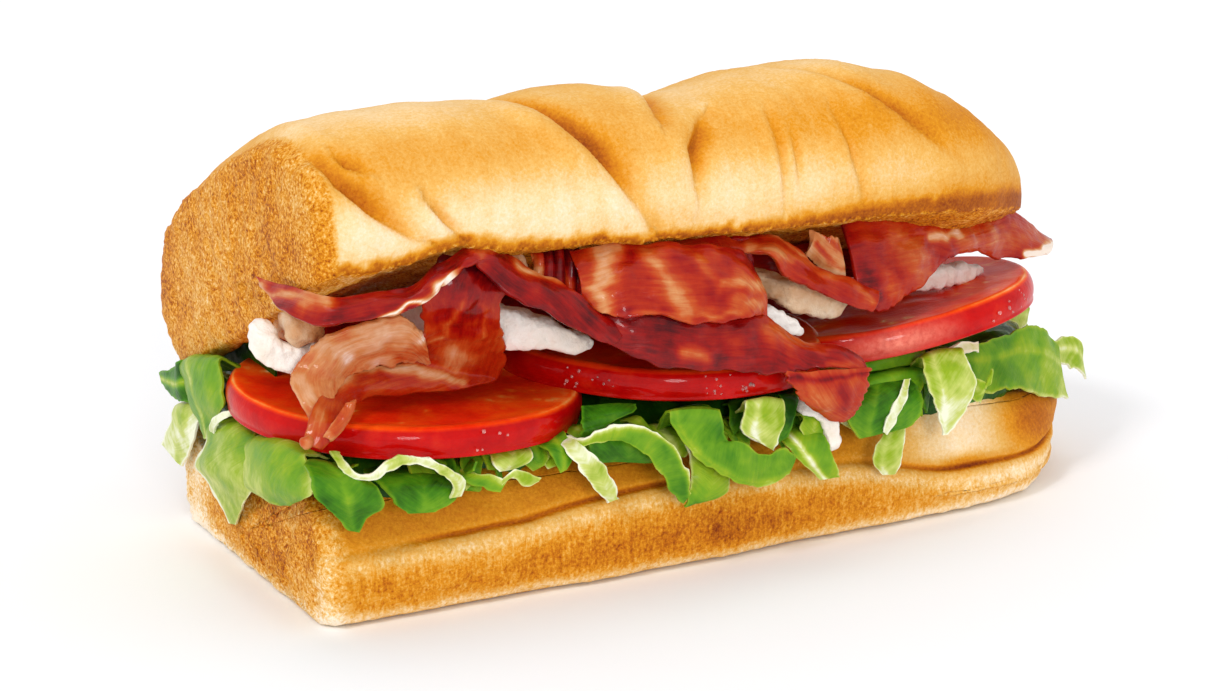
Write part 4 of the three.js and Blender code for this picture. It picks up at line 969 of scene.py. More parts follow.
# Fat in the strips, and some painted light: the part without a streak, then streaks as x and z of both ends,
# half width and amount
FAT_AND_PAINTED_LIGHT = {
    "crest": (0.14, [
        (-82, 60, -76, 62.5, 0.9, 0.6), (-71.5, 58.4, -57, 60.8, 0.45, 0.9),
        (-57, 60.8, -50, 64.6, 0.45, 0.8), (-38, 63, -25, 57, 1.1, 0.6), (-48, 67, -40, 65.5, 0.6, 0.4),
    ]),
    "ruffle": (0.12, [
        # The first streak, with a negative amount, is painted shade on the top of the strip under the roll's
        # edge.
        (-33, 66, -25, 65, 3, -0.3), (-33, 65, -32, 56, 0.8, 0.5), (-26, 64, -27, 54, 0.7, 0.35),
    ]),
    "back": (0.3, [
        (12, 60, 22, 56, 0.8, 0.3), (22, 56, 38, 47, 0.9, 0.2), (18, 61, 26, 55, 0.5, 0.3),
    ]),
    "behind": (0.1, []),
    "inner": (0.14, [
        (-60, 50, -40, 44, 1.4, 0.4), (20, 50, 36, 44, 1.6, 0.4), (60, 44, 76, 49, 1.2, 0.35),
    ]),
    "leaf": (0.76, [
        (29, 58, 34, 52, 0.5, -0.3), (31, 59.5, 34, 55, 0.4, -0.25),
    ]),
    "right": (0.28, [
        # The streak from x 57 to 66 is a painted highlight along the strip.
        (36, 58, 40, 48, 3.5, -0.12), (49, 57, 56, 48, 3.5, 0.22), (57, 55, 66, 53.5, 0.9, 0.55),
        (68, 52.5, 92, 49, 3.2, 0.24), (87, 45.8, 97, 45.4, 0.8, 0.9), (43, 50, 47, 46, 2, 0.15),
    ]),
    "drape_down": (0.34, [
        (-50, 58, -49.5, 50.5, 0.5, 0.3), (-49.5, 50.5, -54, 47.5, 0.5, 0.3),
        (-47, 46, -46, 43, 2.8, 0.42), (-72, 43.5, -60, 44, 0.9, 0.45), (-60, 44, -45, 39.5, 0.8, 0.45),
        (-76, 41, -80, 36, 2.2, 0.22), (-41, 56, -37.5, 46, 1.4, 0.2), (-45, 57, -43, 50, 0.6, 0.22),
        # The streaks from x -52 and -50, with negative amounts, are painted shade at the top of the strip
        # under the arch of the crest strip.
        (-52, 65, -42, 63.5, 2.8, -0.4), (-50, 62, -49, 57, 5, -0.16), (-62, 41, -48, 37.5, 2, 0.06),
    ]),
    "drape_petal": (0.66, [
        (-74, 40, -76, 38, 0.5, -0.15),
    ]),
    "drape_panel": (0.66, [
        (-74, 50, -66, 50, 2.2, 0.14), (-62, 52, -57, 48, 2, 0.1), (-77, 45, -76, 40, 1.2, 0.14),
        # The last four streaks are painted highlights: pale glossy patches on the panel.
        (-69, 47.5, -68, 48.5, 1.5, 0.26), (-64, 50, -61, 50.5, 1.8, 0.2),
        (-62, 46.5, -60, 46.8, 1.1, 0.2), (-55, 49.5, -54.5, 51.5, 0.8, 0.3),
    ]),
    "broad_upper": (0.27, [
        (-18, 64, -24, 58, 1.9, 0.46), (-24, 58, -22, 53.5, 1.8, 0.46), (-11, 60, -8.5, 53, 2.6, 0.42),
        (-2, 60, 0, 55, 1.2, 0.2), (1, 55.5, 6, 56, 1.3, 0.4), (6, 56, 11, 53, 1.3, 0.4),
        (3, 52.5, 9, 51, 1.8, 0.3), (-18, 53, 5, 50.5, 0.7, 0.25), (5, 61, 10, 58, 2, -0.1),
    ]),
    "broad_lower": (0.12, [
        (-9.5, 44.8, -4.5, 43.2, 1.3, 0.45), (12, 46, 21, 42.5, 2.8, 0.42), (-3, 47, 8, 44, 2, 0.1),
        (22, 38.5, 30, 37, 0.7, 0.25),
    ]),
    "broad_flap": (0.42, [
        (18, 36, 22, 30, 1.0, 0.15), (24, 34, 25, 31, 1.2, -0.25), (13, 37, 30, 35.5, 0.6, -0.3),
    ]),
}


def streaked(points, base, streaks):
    """How fatty the bacon is at each point, 0 lean to 1 white fat, with a few streaks of painted highlight
    and painted shade.
    """
    x, z = points[:, 0], points[:, 2]
    most, least = np.zeros(len(points)), np.zeros(len(points))
    for x0, z0, x1, z1, wide, amount in streaks:
        dx, dz = x1 - x0, z1 - z0
        held = clamp(((x - x0) * dx + (z - z0) * dz) / (dx * dx + dz * dz))
        away = np.hypot(x - x0 - dx * held, z - z0 - dz * held)
        share = amount * near(away, 0, wide)
        most, least = np.maximum(most, share), np.minimum(least, share)
    return base + most + least


def strip(name, seed, bulge=0.8, waves=6, wave=0.4, ragged=0.06, along=110, across=24):
    """A strip of bacon through its edges, rippled and uneven, with its fat painted on."""
    piece, row, column = blank(name, along, across)
    t, s = row / along, column / across
    edges = along_rows(BACON[name], t)
    place = np.stack([t * 26, s * 2, t * 0 + seed], axis=1)
    spread = s + ragged * lumps(place, 1.0, seed, 3) * (2 * s - 1) * np.abs(2 * s - 1)
    points = mix(edges[:, :3], edges[:, 3:], spread[:, None])
    points[:, 1] -= bulge * np.sin(np.pi * s)
    move_to(piece, points)
    ripple = wave * np.sin(2 * np.pi * (waves * t + 0.25 * s) + seed) * (0.35 + 0.65 * np.abs(2 * s - 1))
    ripple += 0.45 * lumps(points, 6, seed + 1, 2) + 0.2 * lumps(points, 2.4, seed + 2, 2)
    ends = clamp(np.minimum(t, 1 - t) / 0.04)
    push(piece, ripple * mix(0.5, 1, ends))
    base, streaks = FAT_AND_PAINTED_LIGHT[name]
    sideways, upward = lumps(points, 4, seed + 3, 2), lumps(points, 4, seed + 4, 2)
    drift = np.stack([sideways, 0 * sideways, upward], axis=1)
    paint(piece, "fat", streaked(points + 0.9 * drift, base, streaks) + 0.07 * lumps(points, 3, seed + 5, 2))
    middle = np.asarray(BACON[name], float).reshape(-1, 2, 3).mean(axis=1)
    long = np.linalg.norm(np.diff(middle, axis=0), axis=1).sum()
    wide = np.linalg.norm(edges[:, 3:] - edges[:, :3], axis=1)
    paint(piece, "along", (t * long + seed * 30) * MM)
    paint(piece, "across", s * wide * MM)
    finish_with(piece, "SOLIDIFY", thickness=BACON_THICKNESS * MM, offset=0, use_even_offset=False)
    finish_with(piece, "SUBSURF", levels=1, render_levels=1)
    return piece


def curled_tip():
    """The round end where the hanging strip curled up as it fried."""
    piece = ball((-80.3, -34.4, 36.4), 1.3, 24, 16)
    points = corners(piece)
    push(piece, 0.25 * lumps(points, 1.4, 44, 2))
    paint(piece, "fat", 0.55 + 0.2 * lumps(points, 1.2, 45))
    return piece


def bacon(look):
    """Every piece of bacon, some of them from several strips."""
    strips = {
        "bacon_crest": [strip("crest", 31, waves=7, wave=0.3, ragged=0.1)],
        "bacon_ruffle": [strip("ruffle", 32, waves=6, wave=0.9, ragged=0.1)],
        "bacon_back": [
            strip("back", 33, waves=3, wave=0.4),
            strip("behind", 41, waves=1, wave=0.4, along=40),
        ],
        "bacon_inner": [strip("inner", 42, waves=5, wave=0.5, along=160)],
        "bacon_leaf": [strip("leaf", 34, waves=1, wave=0.5, along=50)],
        "bacon_right": [strip("right", 35, waves=2, wave=0.5, bulge=1.2, along=130)],
        "bacon_broad": [
            strip("broad_upper", 36, bulge=1.6, waves=2, wave=0.3, ragged=0.025, across=36),
            strip("broad_lower", 37, bulge=1.0, waves=3, wave=0.5),
            strip("broad_flap", 38, bulge=1.0, waves=1, wave=0.3, along=50),
        ],
        "bacon_drape": [
            strip("drape_down", 39, bulge=0.8, waves=3, wave=0.4, along=140),
            strip("drape_panel", 40, bulge=1.2, waves=2, wave=0.4),
            strip("drape_petal", 43, bulge=0.5, waves=1, wave=0.15, along=40),
            curled_tip(),
        ],
    }
    for node_name, parts in strips.items():
        piece = joined(node_name + "_strip", parts) if len(parts) > 1 else parts[0]
        piece.name = node_name + "_strip"
        dress(piece, look, "bacon", node_name)


# Chicken pieces: rows of middle x, y, z, then half the depth and half the height of the meat there
CHICKEN = {
    "chicken_curl": [
        [-79.4, -11, 53, 1.4, 1.4], [-80.4, -13.5, 51.4, 2.3, 2.3], [-79.2, -15, 48.4, 2.5, 2.5],
        [-76.8, -16.5, 46.9, 2.2, 2.5], [-74, -18, 47.1, 1.7, 1.9], [-71.8, -19.2, 48.8, 0.9, 1.1],
        [-71, -19.8, 49.8, 0.4, 0.5],
    ],
    "chicken_left": [
        [-68, 2, 50, 4, 4], [-72, -12, 52.5, 4, 3.6], [-74, -22, 53, 3, 3],
    ],
    "chicken_wedge": [
        [-48, -6, 49, 4, 4.5], [-42, -17, 49.5, 4.5, 4.8], [-36, -22, 48.8, 3, 4.2],
        [-30, -24.5, 47.3, 2.4, 3.2], [-24, -26.5, 45.6, 1.8, 2.1], [-19.8, -27.3, 44.6, 1.2, 1.2],
    ],
    "chicken_tucked": [
        [-38, -8, 52, 4, 4], [-37, -20, 58.5, 3, 3], [-35, -27.5, 63, 2.4, 2.2],
    ],
    "chicken_glossy": [
        [16, -16, 50, 2.4, 3], [21.5, -24, 49.4, 2.6, 2.6], [26, -26.5, 47.6, 2.6, 3],
        [31, -27, 46.2, 3, 2.8], [35.5, -26, 45.8, 2, 1.8],
    ],
    "chicken_middle": [
        [8, -22, 45, 3, 2.4], [15, -29.5, 46.4, 2, 1.8], [20, -30.5, 44, 2, 1.7],
        [24, -31, 42, 1.2, 0.9],
    ],
    "chicken_right": [
        [54, -8, 44, 3, 2.4], [62, -13, 43.4, 2.4, 2.2], [68, -12.5, 43.4, 2.2, 2.2],
        [74, -11, 43.2, 2, 1.5], [80, -10, 42.8, 1, 0.9],
    ],
    "chicken_low": [
        [20, -30, 29, 1.4, 1.4], [21, -37.5, 29, 1.2, 1.3], [24.5, -39, 27, 1.2, 1.4],
        [26, -39.5, 20.5, 1.2, 1.6],
    ],
}
# The pieces that browned in the pan, and how much
TANNED = {"chicken_left": 0.7, "chicken_tucked": 0.7, "chicken_glossy": 0.56}
CHICKEN_SQUARENESS = 0.6


def chicken(look):
    """Torn pieces of breast: squared lumps along a bent line, uneven, with fine strands along them."""
    around, along = 48, 60
    for i, (name, rows) in enumerate(CHICKEN.items()):
        piece, row, column = blank(name + "_piece", along, around)
        t = row / along
        lane = along_rows(rows, t)
        ahead = along_rows(rows, np.minimum(1, t + 0.02))[:, :3]
        behind = along_rows(rows, np.maximum(0, t - 0.02))[:, :3]
        run = ahead - behind
        run /= np.linalg.norm(run, axis=1)[:, None]
        up = np.array([0, 0, 1]) - run * run[:, 2:]
        up /= np.linalg.norm(up, axis=1)[:, None]
        side = np.cross(run, up)
        angle = column / around * 2 * np.pi
        taper = clamp(1 - (2 * t - 1) ** 8) ** 0.5
        c = np.sign(np.cos(angle)) * np.abs(np.cos(angle)) ** CHICKEN_SQUARENESS
        s = np.sign(np.sin(angle)) * np.abs(np.sin(angle)) ** CHICKEN_SQUARENESS
        wide, tall = np.abs(lane[:, 3]) * taper, np.abs(lane[:, 4]) * taper
        points = lane[:, :3] + side * (c * wide)[:, None] + up * (s * tall)[:, None]
        move_to(piece, points)
        paint(piece, "tan", TANNED.get(name, 0.06) + 0.15 * lumps(points, 5, 60 + i, 2))
        weld(piece)
        points = corners(piece)
        push(piece, 0.6 * lumps(points, 3.4, 70 + i, 3) + 0.26 * lumps(points * [1, 0.4, 1], 1.2, 80 + i, 2))
        dress(piece, look, "chicken", name)


# Lettuce blades: (rows of one edge x, y, z then the other edge x, y, z; paleness at the first row, at the
# last row, and how much paler toward the second edge; where the rib runs across, 0 to 1, and its paleness)
BLADES = [
    ([[-70, 30, 31, -70, 10, 34], [-79, 32.5, 33.5, -79, 10, 40], [-80.5, 27.5, 31.5, -80.5, 6, 36.5],
      [-81, 24, 28, -81, 4.5, 33], [-80.5, 19.5, 24.5, -80.5, 10.5, 27.5],
      [-80, 18.5, 22, -80, 16.5, 23]],
     0.38, 0.5, -0.1, 0.4, 0.4),
    ([[-74, 24, 34, -74, 24, 28], [-79.5, 29, 35, -79.5, 28, 27], [-80.5, 33, 32.5, -80.5, 31.5, 26.5],
      [-80, 43, 29, -80, 41.5, 27]],
     0.15, 0.15, 0, 0.5, 0.6),
    ([[-73, 30, 25.5, -73, 20, 28], [-79, 35, 24.5, -79, 21.5, 26.5], [-80, 38, 19.5, -80, 23.5, 21],
      [-80, 43.5, 14, -80, 32.5, 12.5]],
     0.8, 0.9, 0, 0.5, 0),
    ([[-78, -5, 33.5, -78, -2, 31.5], [-80, 0, 33, -80, 2, 31.5], [-81.5, 4.5, 31.5, -81.5, 3, 30.5],
      [-82, 9.5, 28, -82, 6.5, 28], [-80.6, 13.5, 24.3, -80.6, 10.5, 24.3]],
     1, 1, 0, 0.5, 0),
    ([[-72, 14, 27.5, -72, -8, 29], [-79, 18, 26, -79, -7, 30], [-80.5, 16.5, 22, -80.5, -14, 29],
      [-81.5, 20.5, 17, -81.5, -13, 25], [-81.5, 16.5, 15.5, -81.5, -10, 21],
      [-80.5, 10.5, 12, -80.5, -3, 15.5], [-79.5, 8.5, 8, -79.5, 4.5, 9]],
     0.52, 0.75, -0.1, 0.06, 0.35),
    ([[-72, -4, 28.5, -72, -24, 29], [-80, -4.5, 28.5, -79, -31, 33], [-82, -6.5, 25.5, -80, -34, 31.5],
      [-82.5, -9.5, 21.5, -80.5, -38.5, 29.5], [-82, -17, 21, -81, -35, 26.5],
      [-81.5, -23.5, 21.5, -81, -27, 23]],
     0.62, 0.4, -0.15, 0.1, 0.2),
    ([[-76, -28, 29, -68, -28, 28.5], [-80, -33, 32.5, -71.5, -32, 29.5],
      [-81.5, -38, 31.5, -69.5, -38, 28], [-81.5, -39.5, 28.5, -68, -39.5, 24.5],
      [-77.5, -39.5, 24, -71, -39.5, 23], [-74.5, -39, 20.5, -73, -39, 20]],
     0.3, 0.16, 0.1, 0.45, 0.15),
    ([[-76, -34, 34, -74, -34, 33.5], [-74.5, -38, 30.5, -73.5, -38, 31.5],
      [-70.5, -39.5, 29.5, -71, -39.5, 30.5], [-66.5, -40, 31, -67.5, -40, 33],
      [-62.5, -40, 31.5, -62.5, -40, 33], [-57.5, -40, 29, -56, -40, 30],
      [-54.5, -39.5, 25.5, -52.5, -39.5, 26.5], [-55, -39, 23.5, -53, -39, 23.5]],
     0.6, 0.7, 0, 0.6, 0.2),
    ([[-67, -26, 27, -52, -26, 26], [-67.5, -33, 27.5, -51, -33, 25.5], [-67, -37, 26.5, -52, -37, 24.5],
      [-66, -39, 24.5, -54.5, -39, 22.5], [-63.5, -39.5, 22, -58.5, -39.5, 21.5]],
     0.05, 0.3, 0.05, 0.5, 0.08),
    ([[-50.5, -35, 26, -48, -33, 28], [-49.5, -37.5, 27.5, -48.5, -37, 29]],
     0.25, 0.3, 0, 0.5, 0),
    ([[-53, -30, 26, -50, -30, 27], [-51, -37, 25.5, -49.5, -36, 26.5], [-48, -38.5, 24, -46, -38, 26],
      [-45, -39, 23, -43.5, -39, 25]],
     0.4, 0.5, 0.1, 0.8, 0.2),
    ([[-46, -34, 24, -45, -34, 25], [-45, -38.5, 24, -44.5, -38.5, 25],
      [-42.5, -39.5, 25.5, -42, -39.5, 27], [-40, -39.5, 23.5, -38.5, -39.5, 25.5],
      [-37.5, -39.5, 24, -37, -39.5, 24.5]],
     0.7, 0.75, 0, 0.5, 0),
    ([[-45, -30, 28, -37, -30, 28], [-45, -35, 29, -37, -35, 28.5], [-45.5, -37.5, 28, -38, -37.5, 27.5],
      [-44.5, -38, 26.5, -41.5, -38, 26.5]],
     0.6, 0.75, 0, 0.5, 0.1),
    ([[-34.5, -28, 28, -29, -28, 29], [-34.5, -34, 29, -29, -34, 29.8],
      [-34, -37.5, 27.5, -29, -37.5, 27.5], [-32.5, -38.5, 24.5, -31, -38.5, 25]],
     0.25, 0.4, 0, 0.5, 0.35),
    ([[-31, -31, 28, -28, -31, 28.5], [-31.5, -37, 29, -28, -37, 29.8],
      [-30, -39.5, 26.5, -27, -39.5, 28], [-27.5, -40, 23, -23.5, -40, 24],
      [-25, -39.5, 19.5, -21.5, -39.5, 20], [-23, -39, 17.5, -20.5, -39, 18]],
     0.95, 0.75, -0.1, 0.5, 0),
    ([[-29, -34, 29, -29, -34, 30], [-28, -38.5, 29, -28, -38.5, 30.5],
      [-25.5, -40.5, 30, -26.5, -40.5, 32], [-20.5, -41.5, 29.5, -22, -41.5, 33],
      [-16.5, -42, 26.5, -16, -42, 31.5], [-13.5, -42, 23, -10.5, -42, 27],
      [-11, -41.5, 19, -7.5, -41.5, 21.5], [-8, -41, 15.5, -6.5, -41, 17]],
     0.5, 0.3, 0.05, 1.0, 0.4),
    ([[-26, -34, 35, -14.5, -34.5, 34], [-27, -36, 33, -16, -36, 33], [-27.5, -37, 31.5, -22, -37, 32],
      [-27, -34, 28.5, -23, -34, 28.5]],
     0.1, 0.15, 0, 0.5, 0),
    ([[-25, -30, 28, -10, -30, 27], [-25, -36, 29.5, -10, -36, 27], [-26, -37.5, 27.5, -10, -37.5, 24.5],
      [-23.5, -37.5, 25, -12, -37.5, 23]],
     0.05, 0.3, 0, 0.5, 0.05),
    ([[-8, -29, 25, 2, -29, 25], [-10.5, -39, 33.2, 0.5, -39.3, 32], [-10, -40.4, 31, 0.5, -40.4, 29.5],
      [-8.5, -41.5, 27.5, 1, -41.5, 26.5], [-3.5, -42.5, 22.5, 4, -42, 26],
      [2.5, -42.5, 18.5, 9, -42, 22.5], [7.5, -42, 16.5, 13.5, -41.5, 23],
      [15, -41, 17.5, 16.5, -41, 21]],
     0.3, 0.35, -0.05, 0.12, 0.2),
    ([[-4, -34, 25, 1, -34, 23], [-5.5, -38.5, 24, 0, -38.5, 22], [-5.5, -40, 20, 2.5, -40, 18.5],
      [-7, -40.5, 16, 1, -40.5, 15.5], [-7.5, -40.5, 14.5, -4, -40.5, 15]],
     0.85, 0.4, 0, 0.5, 0),
    ([[9, -29, 25, 15, -29, 25], [6, -39.2, 32.8, 14, -39.2, 32], [5.5, -40, 30.5, 14.5, -40, 29.5],
      [5, -40.5, 27.5, 13, -40.5, 25.5], [9, -40.5, 24.5, 12, -40.5, 22.5]],
     0.62, 0.85, 0, 0.3, 0.2),
    ([[17, -30, 27.5, 20, -30, 27.5], [16, -35, 31.5, 20, -35, 31], [15.5, -38, 28.5, 18, -38, 28.5],
      [13, -39.5, 23.5, 15.5, -39.5, 24.5]],
     0.05, 0.15, 0, 0.5, 0),
    ([[15, -30, 24, 23.5, -30, 24], [14.5, -38, 23.5, 23.5, -38, 24],
      [17.5, -40.5, 20, 24.5, -40.5, 20.5], [20, -40.5, 17.5, 26, -40.5, 17.5],
      [22.5, -40, 15, 27, -40, 15]],
     0.35, 0.5, 0, 0.25, 0.45),
    ([[20, -30, 25, 24.5, -30, 25], [20, -37, 27.5, 24.5, -37, 26.5], [19, -38.5, 25, 24.5, -38.5, 23],
      [20, -38.5, 23, 23, -38.5, 22.5]],
     0.45, 0.55, 0, 0.5, 0.1),
    ([[38, -27, 28, 46, -27, 28], [36, -33, 29, 47.5, -33, 29.5], [31, -37, 27.5, 47.5, -37, 26],
      [29.5, -38.5, 25.5, 45, -38.5, 22.5], [32, -39, 21.5, 39.5, -39, 22]],
     0.1, 0.35, -0.05, 0.3, 0.2),
    ([[41, -30, 24, 44.5, -30, 24.5], [40.5, -35.5, 23.5, 44.5, -35.5, 24],
      [36.5, -38.5, 19, 42.5, -38.5, 18.5], [35.5, -38.5, 16, 42, -38.5, 14.5],
      [38, -38, 13, 41.5, -38, 12.5]],
     0.6, 0.8, 0.1, 0.3, 0.15),
    ([[44.5, -35, 30.5, 46, -35, 30.5], [41, -38, 28, 43, -38, 27],
      [37.5, -39.5, 24.5, 39.5, -39.5, 23.5], [37, -39.5, 22.5, 38, -39.5, 21.5]],
     0.8, 0.9, 0, 0.5, 0),
    ([[51, -26, 28, 58, -26, 28], [50, -32, 33.5, 59, -32, 34.5], [48.5, -36, 32, 59, -36, 32.5],
      [48.5, -38, 28.5, 59.5, -38, 28.5], [50, -38.5, 24.5, 57, -38.5, 24], [52, -38, 19, 53, -38, 19]],
     0.5, 0.85, 0.1, 0.25, 0.2),
    ([[57, -30, 27, 60, -30, 28], [58.5, -35, 27, 61, -35, 28.5], [59.5, -37, 25, 63.5, -37, 27.5],
      [61.5, -37, 24, 64, -37, 30.5]],
     0.45, 0.6, 0, 0.5, 0.15),
    ([[62, -18, 31, 62, -20, 26], [65, -24, 31.5, 64, -28, 26.5], [71, -24, 32, 68, -30, 23.5],
      [78.5, -22, 32, 74, -29, 23], [84, -20, 32.5, 80, -27, 21], [89.5, -18, 31, 87.5, -24, 18],
      [95, -16, 26, 95.5, -20, 15.5]],
     0.25, 0.55, 0.25, 0.35, 0.2),
    ([[88, -8, 26, 88, -12, 23], [94.5, -14, 26.5, 94.5, -16, 22.5], [100.5, -12, 26.5, 98, -16, 21],
      [104.5, -11, 24.5, 102, -15, 19.5], [105.5, -11, 20.5, 105.5, -13, 16.5]],
     0.5, 0.8, 0.1, 0.4, 0.2),
    ([[80, -6, 31, 80, -8, 29], [84.5, -10, 34, 85.5, -12, 31.5], [91.5, -8, 34, 88.5, -12, 29.5],
      [93.5, -8, 32.5, 91.5, -10, 30]],
     0.6, 0.7, 0, 0.5, 0.1),
    ([[58, -24, 29, 59, -24, 27.5], [62, -27, 33.5, 63, -28, 31.5], [67.5, -27, 33, 67, -28, 31.5]],
     0.85, 0.9, 0, 0.5, 0),
    ([[41, -24, 28, 55.5, -24, 28], [39.5, -28, 33, 55.5, -26, 32.5], [38.5, -30, 31.5, 54, -28, 31]],
     0.2, 0.4, 0, 0.5, 0.05),
    ([[38, -26, 29.5, 52.5, -26, 29.5], [37, -32, 30, 52.5, -31, 30], [37, -33, 28.5, 52.5, -32, 28]],
     0.2, 0.45, 0, 0.5, 0.05),
    # Painted shade: a dark blade at the back of the cut end, filling the gap under the top half where there
    # is only shade.
    ([[-71, 4, 35, -71, 4, 41], [-71.5, 18, 33, -71.5, 18, 40.5], [-71, 32, 31, -71, 32, 37]],
     0.02, 0.05, 0, 0.5, 0.05),
    ([[80, 12, 26, 80, 0, 26], [92, 12, 28, 92, 0, 28], [99, 10, 25, 99, 0, 25.5],
      [102, 8, 19, 103, 0, 19]],
     0.4, 0.5, 0, 0.4, 0.25),
    ([[76, 26, 25, 76, 14, 25], [86, 27, 26, 86, 17, 26.5], [91, 27, 22, 93, 19, 22.5],
      [92, 26, 17, 95, 21, 17]],
     0.35, 0.6, 0, 0.5, 0.25),
]


def blade(rows, pale_root, pale_tip, slant, rib, rib_pale, seed, along=44, across=16):
    """One cut blade of lettuce between its two edges, thin, a little cupped and crinkled."""
    piece, row, column = blank("blade", along, across)
    t, s = row / along, column / across
    edges = along_rows(rows, t)
    wide = np.linalg.norm(edges[:, 3:] - edges[:, :3], axis=1)
    walked = np.concatenate([[0], np.cumsum(np.linalg.norm(np.diff(rows, axis=0), axis=1))])
    length = np.interp(t * (len(rows) - 1), np.arange(len(rows)), walked)
    edge_place = np.stack([length / 2.5, np.round(s) * 7 + seed, t * 0], axis=1)
    outer = np.abs(2 * s - 1)
    spread = s + 0.5 * lumps(edge_place, 1.0, seed, 2) / wide * outer**3 * np.sign(s - 0.5)
    points = mix(edges[:, :3], edges[:, 3:], spread[:, None])
    move_to(piece, points)
    cup = 0.07 * wide * (1 - outer**2) * np.sin(np.pi * clamp(t + 0.1))
    crinkle = 0.3 * lumps(points, 4.5, seed + 1, 2) + 0.35 * lumps(points, 2.6, seed + 2) * outer**2
    push(piece, cup + crinkle * clamp(wide / 6))
    away = np.abs(s - rib) * wide
    line = near(away, 0, 0.8)
    tone = mix(pale_root, pale_tip, t) + slant * (s - 0.5) + 0.12 * lumps(points, 5, seed + 3, 2)
    cut_edge = near((1 - outer) * wide / 2, 0, 0.3)
    paint(piece, "pale", tone + rib_pale * line + 0.22 * cut_edge)
    paint(piece, "vein_run", (length + 1.1 * away) * MM)
    paint(piece, "vein_away", (away + seed * 3) * MM)
    return piece


FILLING_BLADES = 130


def filling_blade(rng, i):
    """A short blade hanging over the edge of the heap, on the front or on the back by turns."""
    front = i % 5 < 2
    side = -1 if front else 1
    x = rng.uniform(-70, 58 if front else 80)
    edge = -31 if front else 36.5
    y = edge - side * 12 * clamp((x - 52) / 30)
    slide = rng.uniform(-5, 5)
    wide = rng.uniform(1.6, 6) if front else rng.uniform(5, 12)
    drop = rng.uniform(2, 4) if front else rng.uniform(3, 9)
    z = rng.uniform(25, 29)
    over = 3.5 if front else 4.5
    lean = rng.uniform(-2, 2)
    # Half width, how far each edge has slid along, then how far out, how far up and the tilt
    turns = [
        (wide / 2, 0, 0, -7, -1, lean * 0.3),
        (wide / 2, slide * 0.3, slide * 0.3, 0, 1, lean),
        (wide / 2, slide * 0.7, slide, over, -drop * 0.4, lean),
        (wide / 4, slide, slide, over + 0.8, -drop, lean),
    ]
    rows = [
        [x - half + left, y + side * out, z + up, x + half + right, y + side * out, z + up + tilt]
        for half, left, right, out, up, tilt in turns
    ]
    tone = rng.uniform(0.05, 0.7)
    return blade(rows, tone * 0.5, tone, 0, rng.uniform(0.2, 0.8), rng.uniform(0, 0.3), 400 + i, 20, 8)


def lettuce(look):
    """The heap: the large blades, the short ones between them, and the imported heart."""
    rng = np.random.default_rng(11)
    leaves = [blade(*row, 200 + i) for i, row in enumerate(BLADES)]
    shreds = [filling_blade(rng, i) for i in range(FILLING_BLADES)]
    for name, cut in (("lettuce_leaves", leaves), ("lettuce_shreds", shreds)):
        piece = joined(name, cut)
        finish_with(piece, "SOLIDIFY", thickness=LEAF_THICKNESS * MM, offset=0)
        dress(piece, look, "lettuce")
        bpy.ops.object.shade_smooth_by_angle(angle=math.radians(40))
    core = lettuce_core()
    dress(core, look, "lettuce", "lettuce")


def lettuce_core():
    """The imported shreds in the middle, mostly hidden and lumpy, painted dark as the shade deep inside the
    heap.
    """
    around, along = 96, 120
    piece, row, column = blank("lettuce_heart", along, around)
    x = mix(-75.5, 91.4, row / along)
    end = round_end(x, 55, 91.5, 2.4) * clamp((x + 75.5) / 1.5) ** 0.4
    angle = column / around * 2 * np.pi
    c = np.sign(np.cos(angle)) * np.abs(np.cos(angle)) ** 0.4
    s = np.sign(np.sin(angle)) * np.abs(np.sin(angle)) ** 0.6
    points = np.stack([x, 4 + 33 * c * end, 22.9 + 7.0 * s * mix(0.6, 1, end)], axis=1)
    move_to(piece, points)
    # Painted shade: the heart is painted dark green, as the shade deep inside the heap.
    paint(piece, "pale", 0.02 + 0.15 * lumps(points, 5, 90, 2))
    paint(piece, "vein_run", points[:, 0] * MM)
    paint(piece, "vein_away", points[:, 1] * MM)
    weld(piece)
    points = corners(piece)
    push(piece, 1.2 * lumps(points, 6, 91, 3))
    return piece


bread = bread_material()
top_half(bread)
bottom_half(bread)
tomato_look = tomato_material()
for index, tomato_name in enumerate(TOMATOES):
    tomato_slice(tomato_name, 50 + index, tomato_look)
drops(water_material())
bacon(bacon_material())
chicken(chicken_material())
lettuce(lettuce_material())


# Studio, with its sizes and places in metres

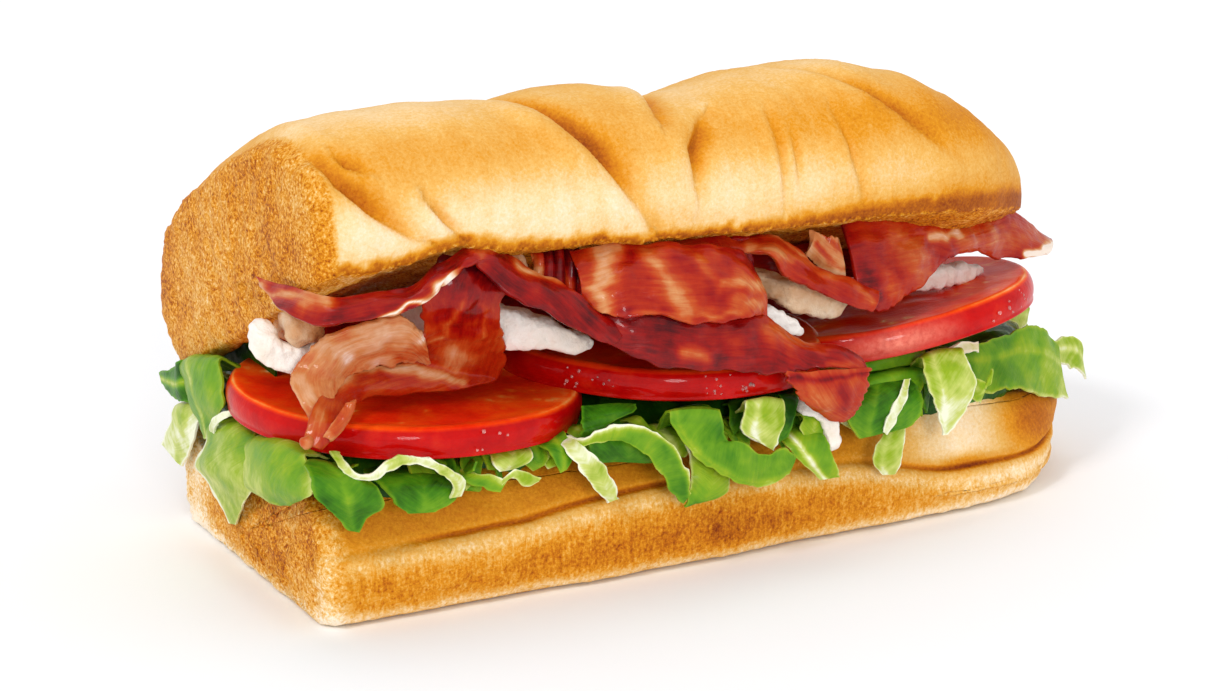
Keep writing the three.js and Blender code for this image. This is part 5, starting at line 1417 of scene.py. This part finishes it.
# Lights: name, degrees round from the front, degrees up, width in degrees, strength
LIGHTS = [
    ("key_light", -66, 46, 10, 0.74),
    ("front_light", -12, 18, 16, 0.78),
    ("top_light", 165, 78, 25, 0.3),
]
FLOOR_SIZE = 40
FLOOR_Z = -0.0002
ROOM_BRIGHTNESS = 0.77
CAMERA_PLACE = (-0.26845, -0.50332, 0.19824)
CAMERA_ROUND = -28
CAMERA_UP = 16
CAMERA_LENS = 87.95
CAMERA_SENSOR = 36


def aim(thing, azimuth, elevation):
    """Turns a lamp or the camera to look in from that many degrees round from the front and up."""
    a, e = math.radians(azimuth), math.radians(elevation)
    away = Vector((math.sin(a) * math.cos(e), -math.cos(a) * math.cos(e), math.sin(e)))
    thing.rotation_mode = "QUATERNION"
    thing.rotation_quaternion = (-away).to_track_quat("-Z", "Y")


def studio():
    """A pale paper floor in a white room, with three soft lamps."""
    bpy.ops.object.select_all(action="DESELECT")
    bpy.ops.mesh.primitive_plane_add(size=FLOOR_SIZE, location=(0, 0, FLOOR_Z))
    floor = bpy.context.object
    floor.name = "floor"
    made, tree, shader = material("matt_white_paper", 0.95, 1.45, 0.1)
    fill(tree, shader, {"Base Color": colour("#fcfdff")})
    floor.data.materials.append(made)
    world = bpy.data.worlds.new("soft_white_room")
    world.use_nodes = True
    backdrop = world.node_tree.nodes["Background"]
    fill(world.node_tree, backdrop, {"Color": colour("#ffffff"), "Strength": ROOM_BRIGHTNESS})
    bpy.context.scene.world = world
    bpy.context.scene.view_settings.view_transform = "Standard"
    for name, azimuth, elevation, width, strength in LIGHTS:
        bpy.ops.object.light_add(type="SUN", location=(0, 0, 1))
        lamp = bpy.context.object
        lamp.name = name
        lamp.data.energy = strength
        lamp.data.angle = math.radians(width)
        aim(lamp, azimuth, elevation)


def camera():
    """The camera at the photograph's angle, with the whole sandwich in view."""
    bpy.ops.object.camera_add(location=CAMERA_PLACE)
    made = bpy.context.object
    made.name = "camera"
    made.data.lens = CAMERA_LENS
    made.data.sensor_width = CAMERA_SENSOR
    made.data.clip_start = 0.01
    aim(made, CAMERA_ROUND, CAMERA_UP)
    bpy.context.scene.camera = made


studio()
camera()
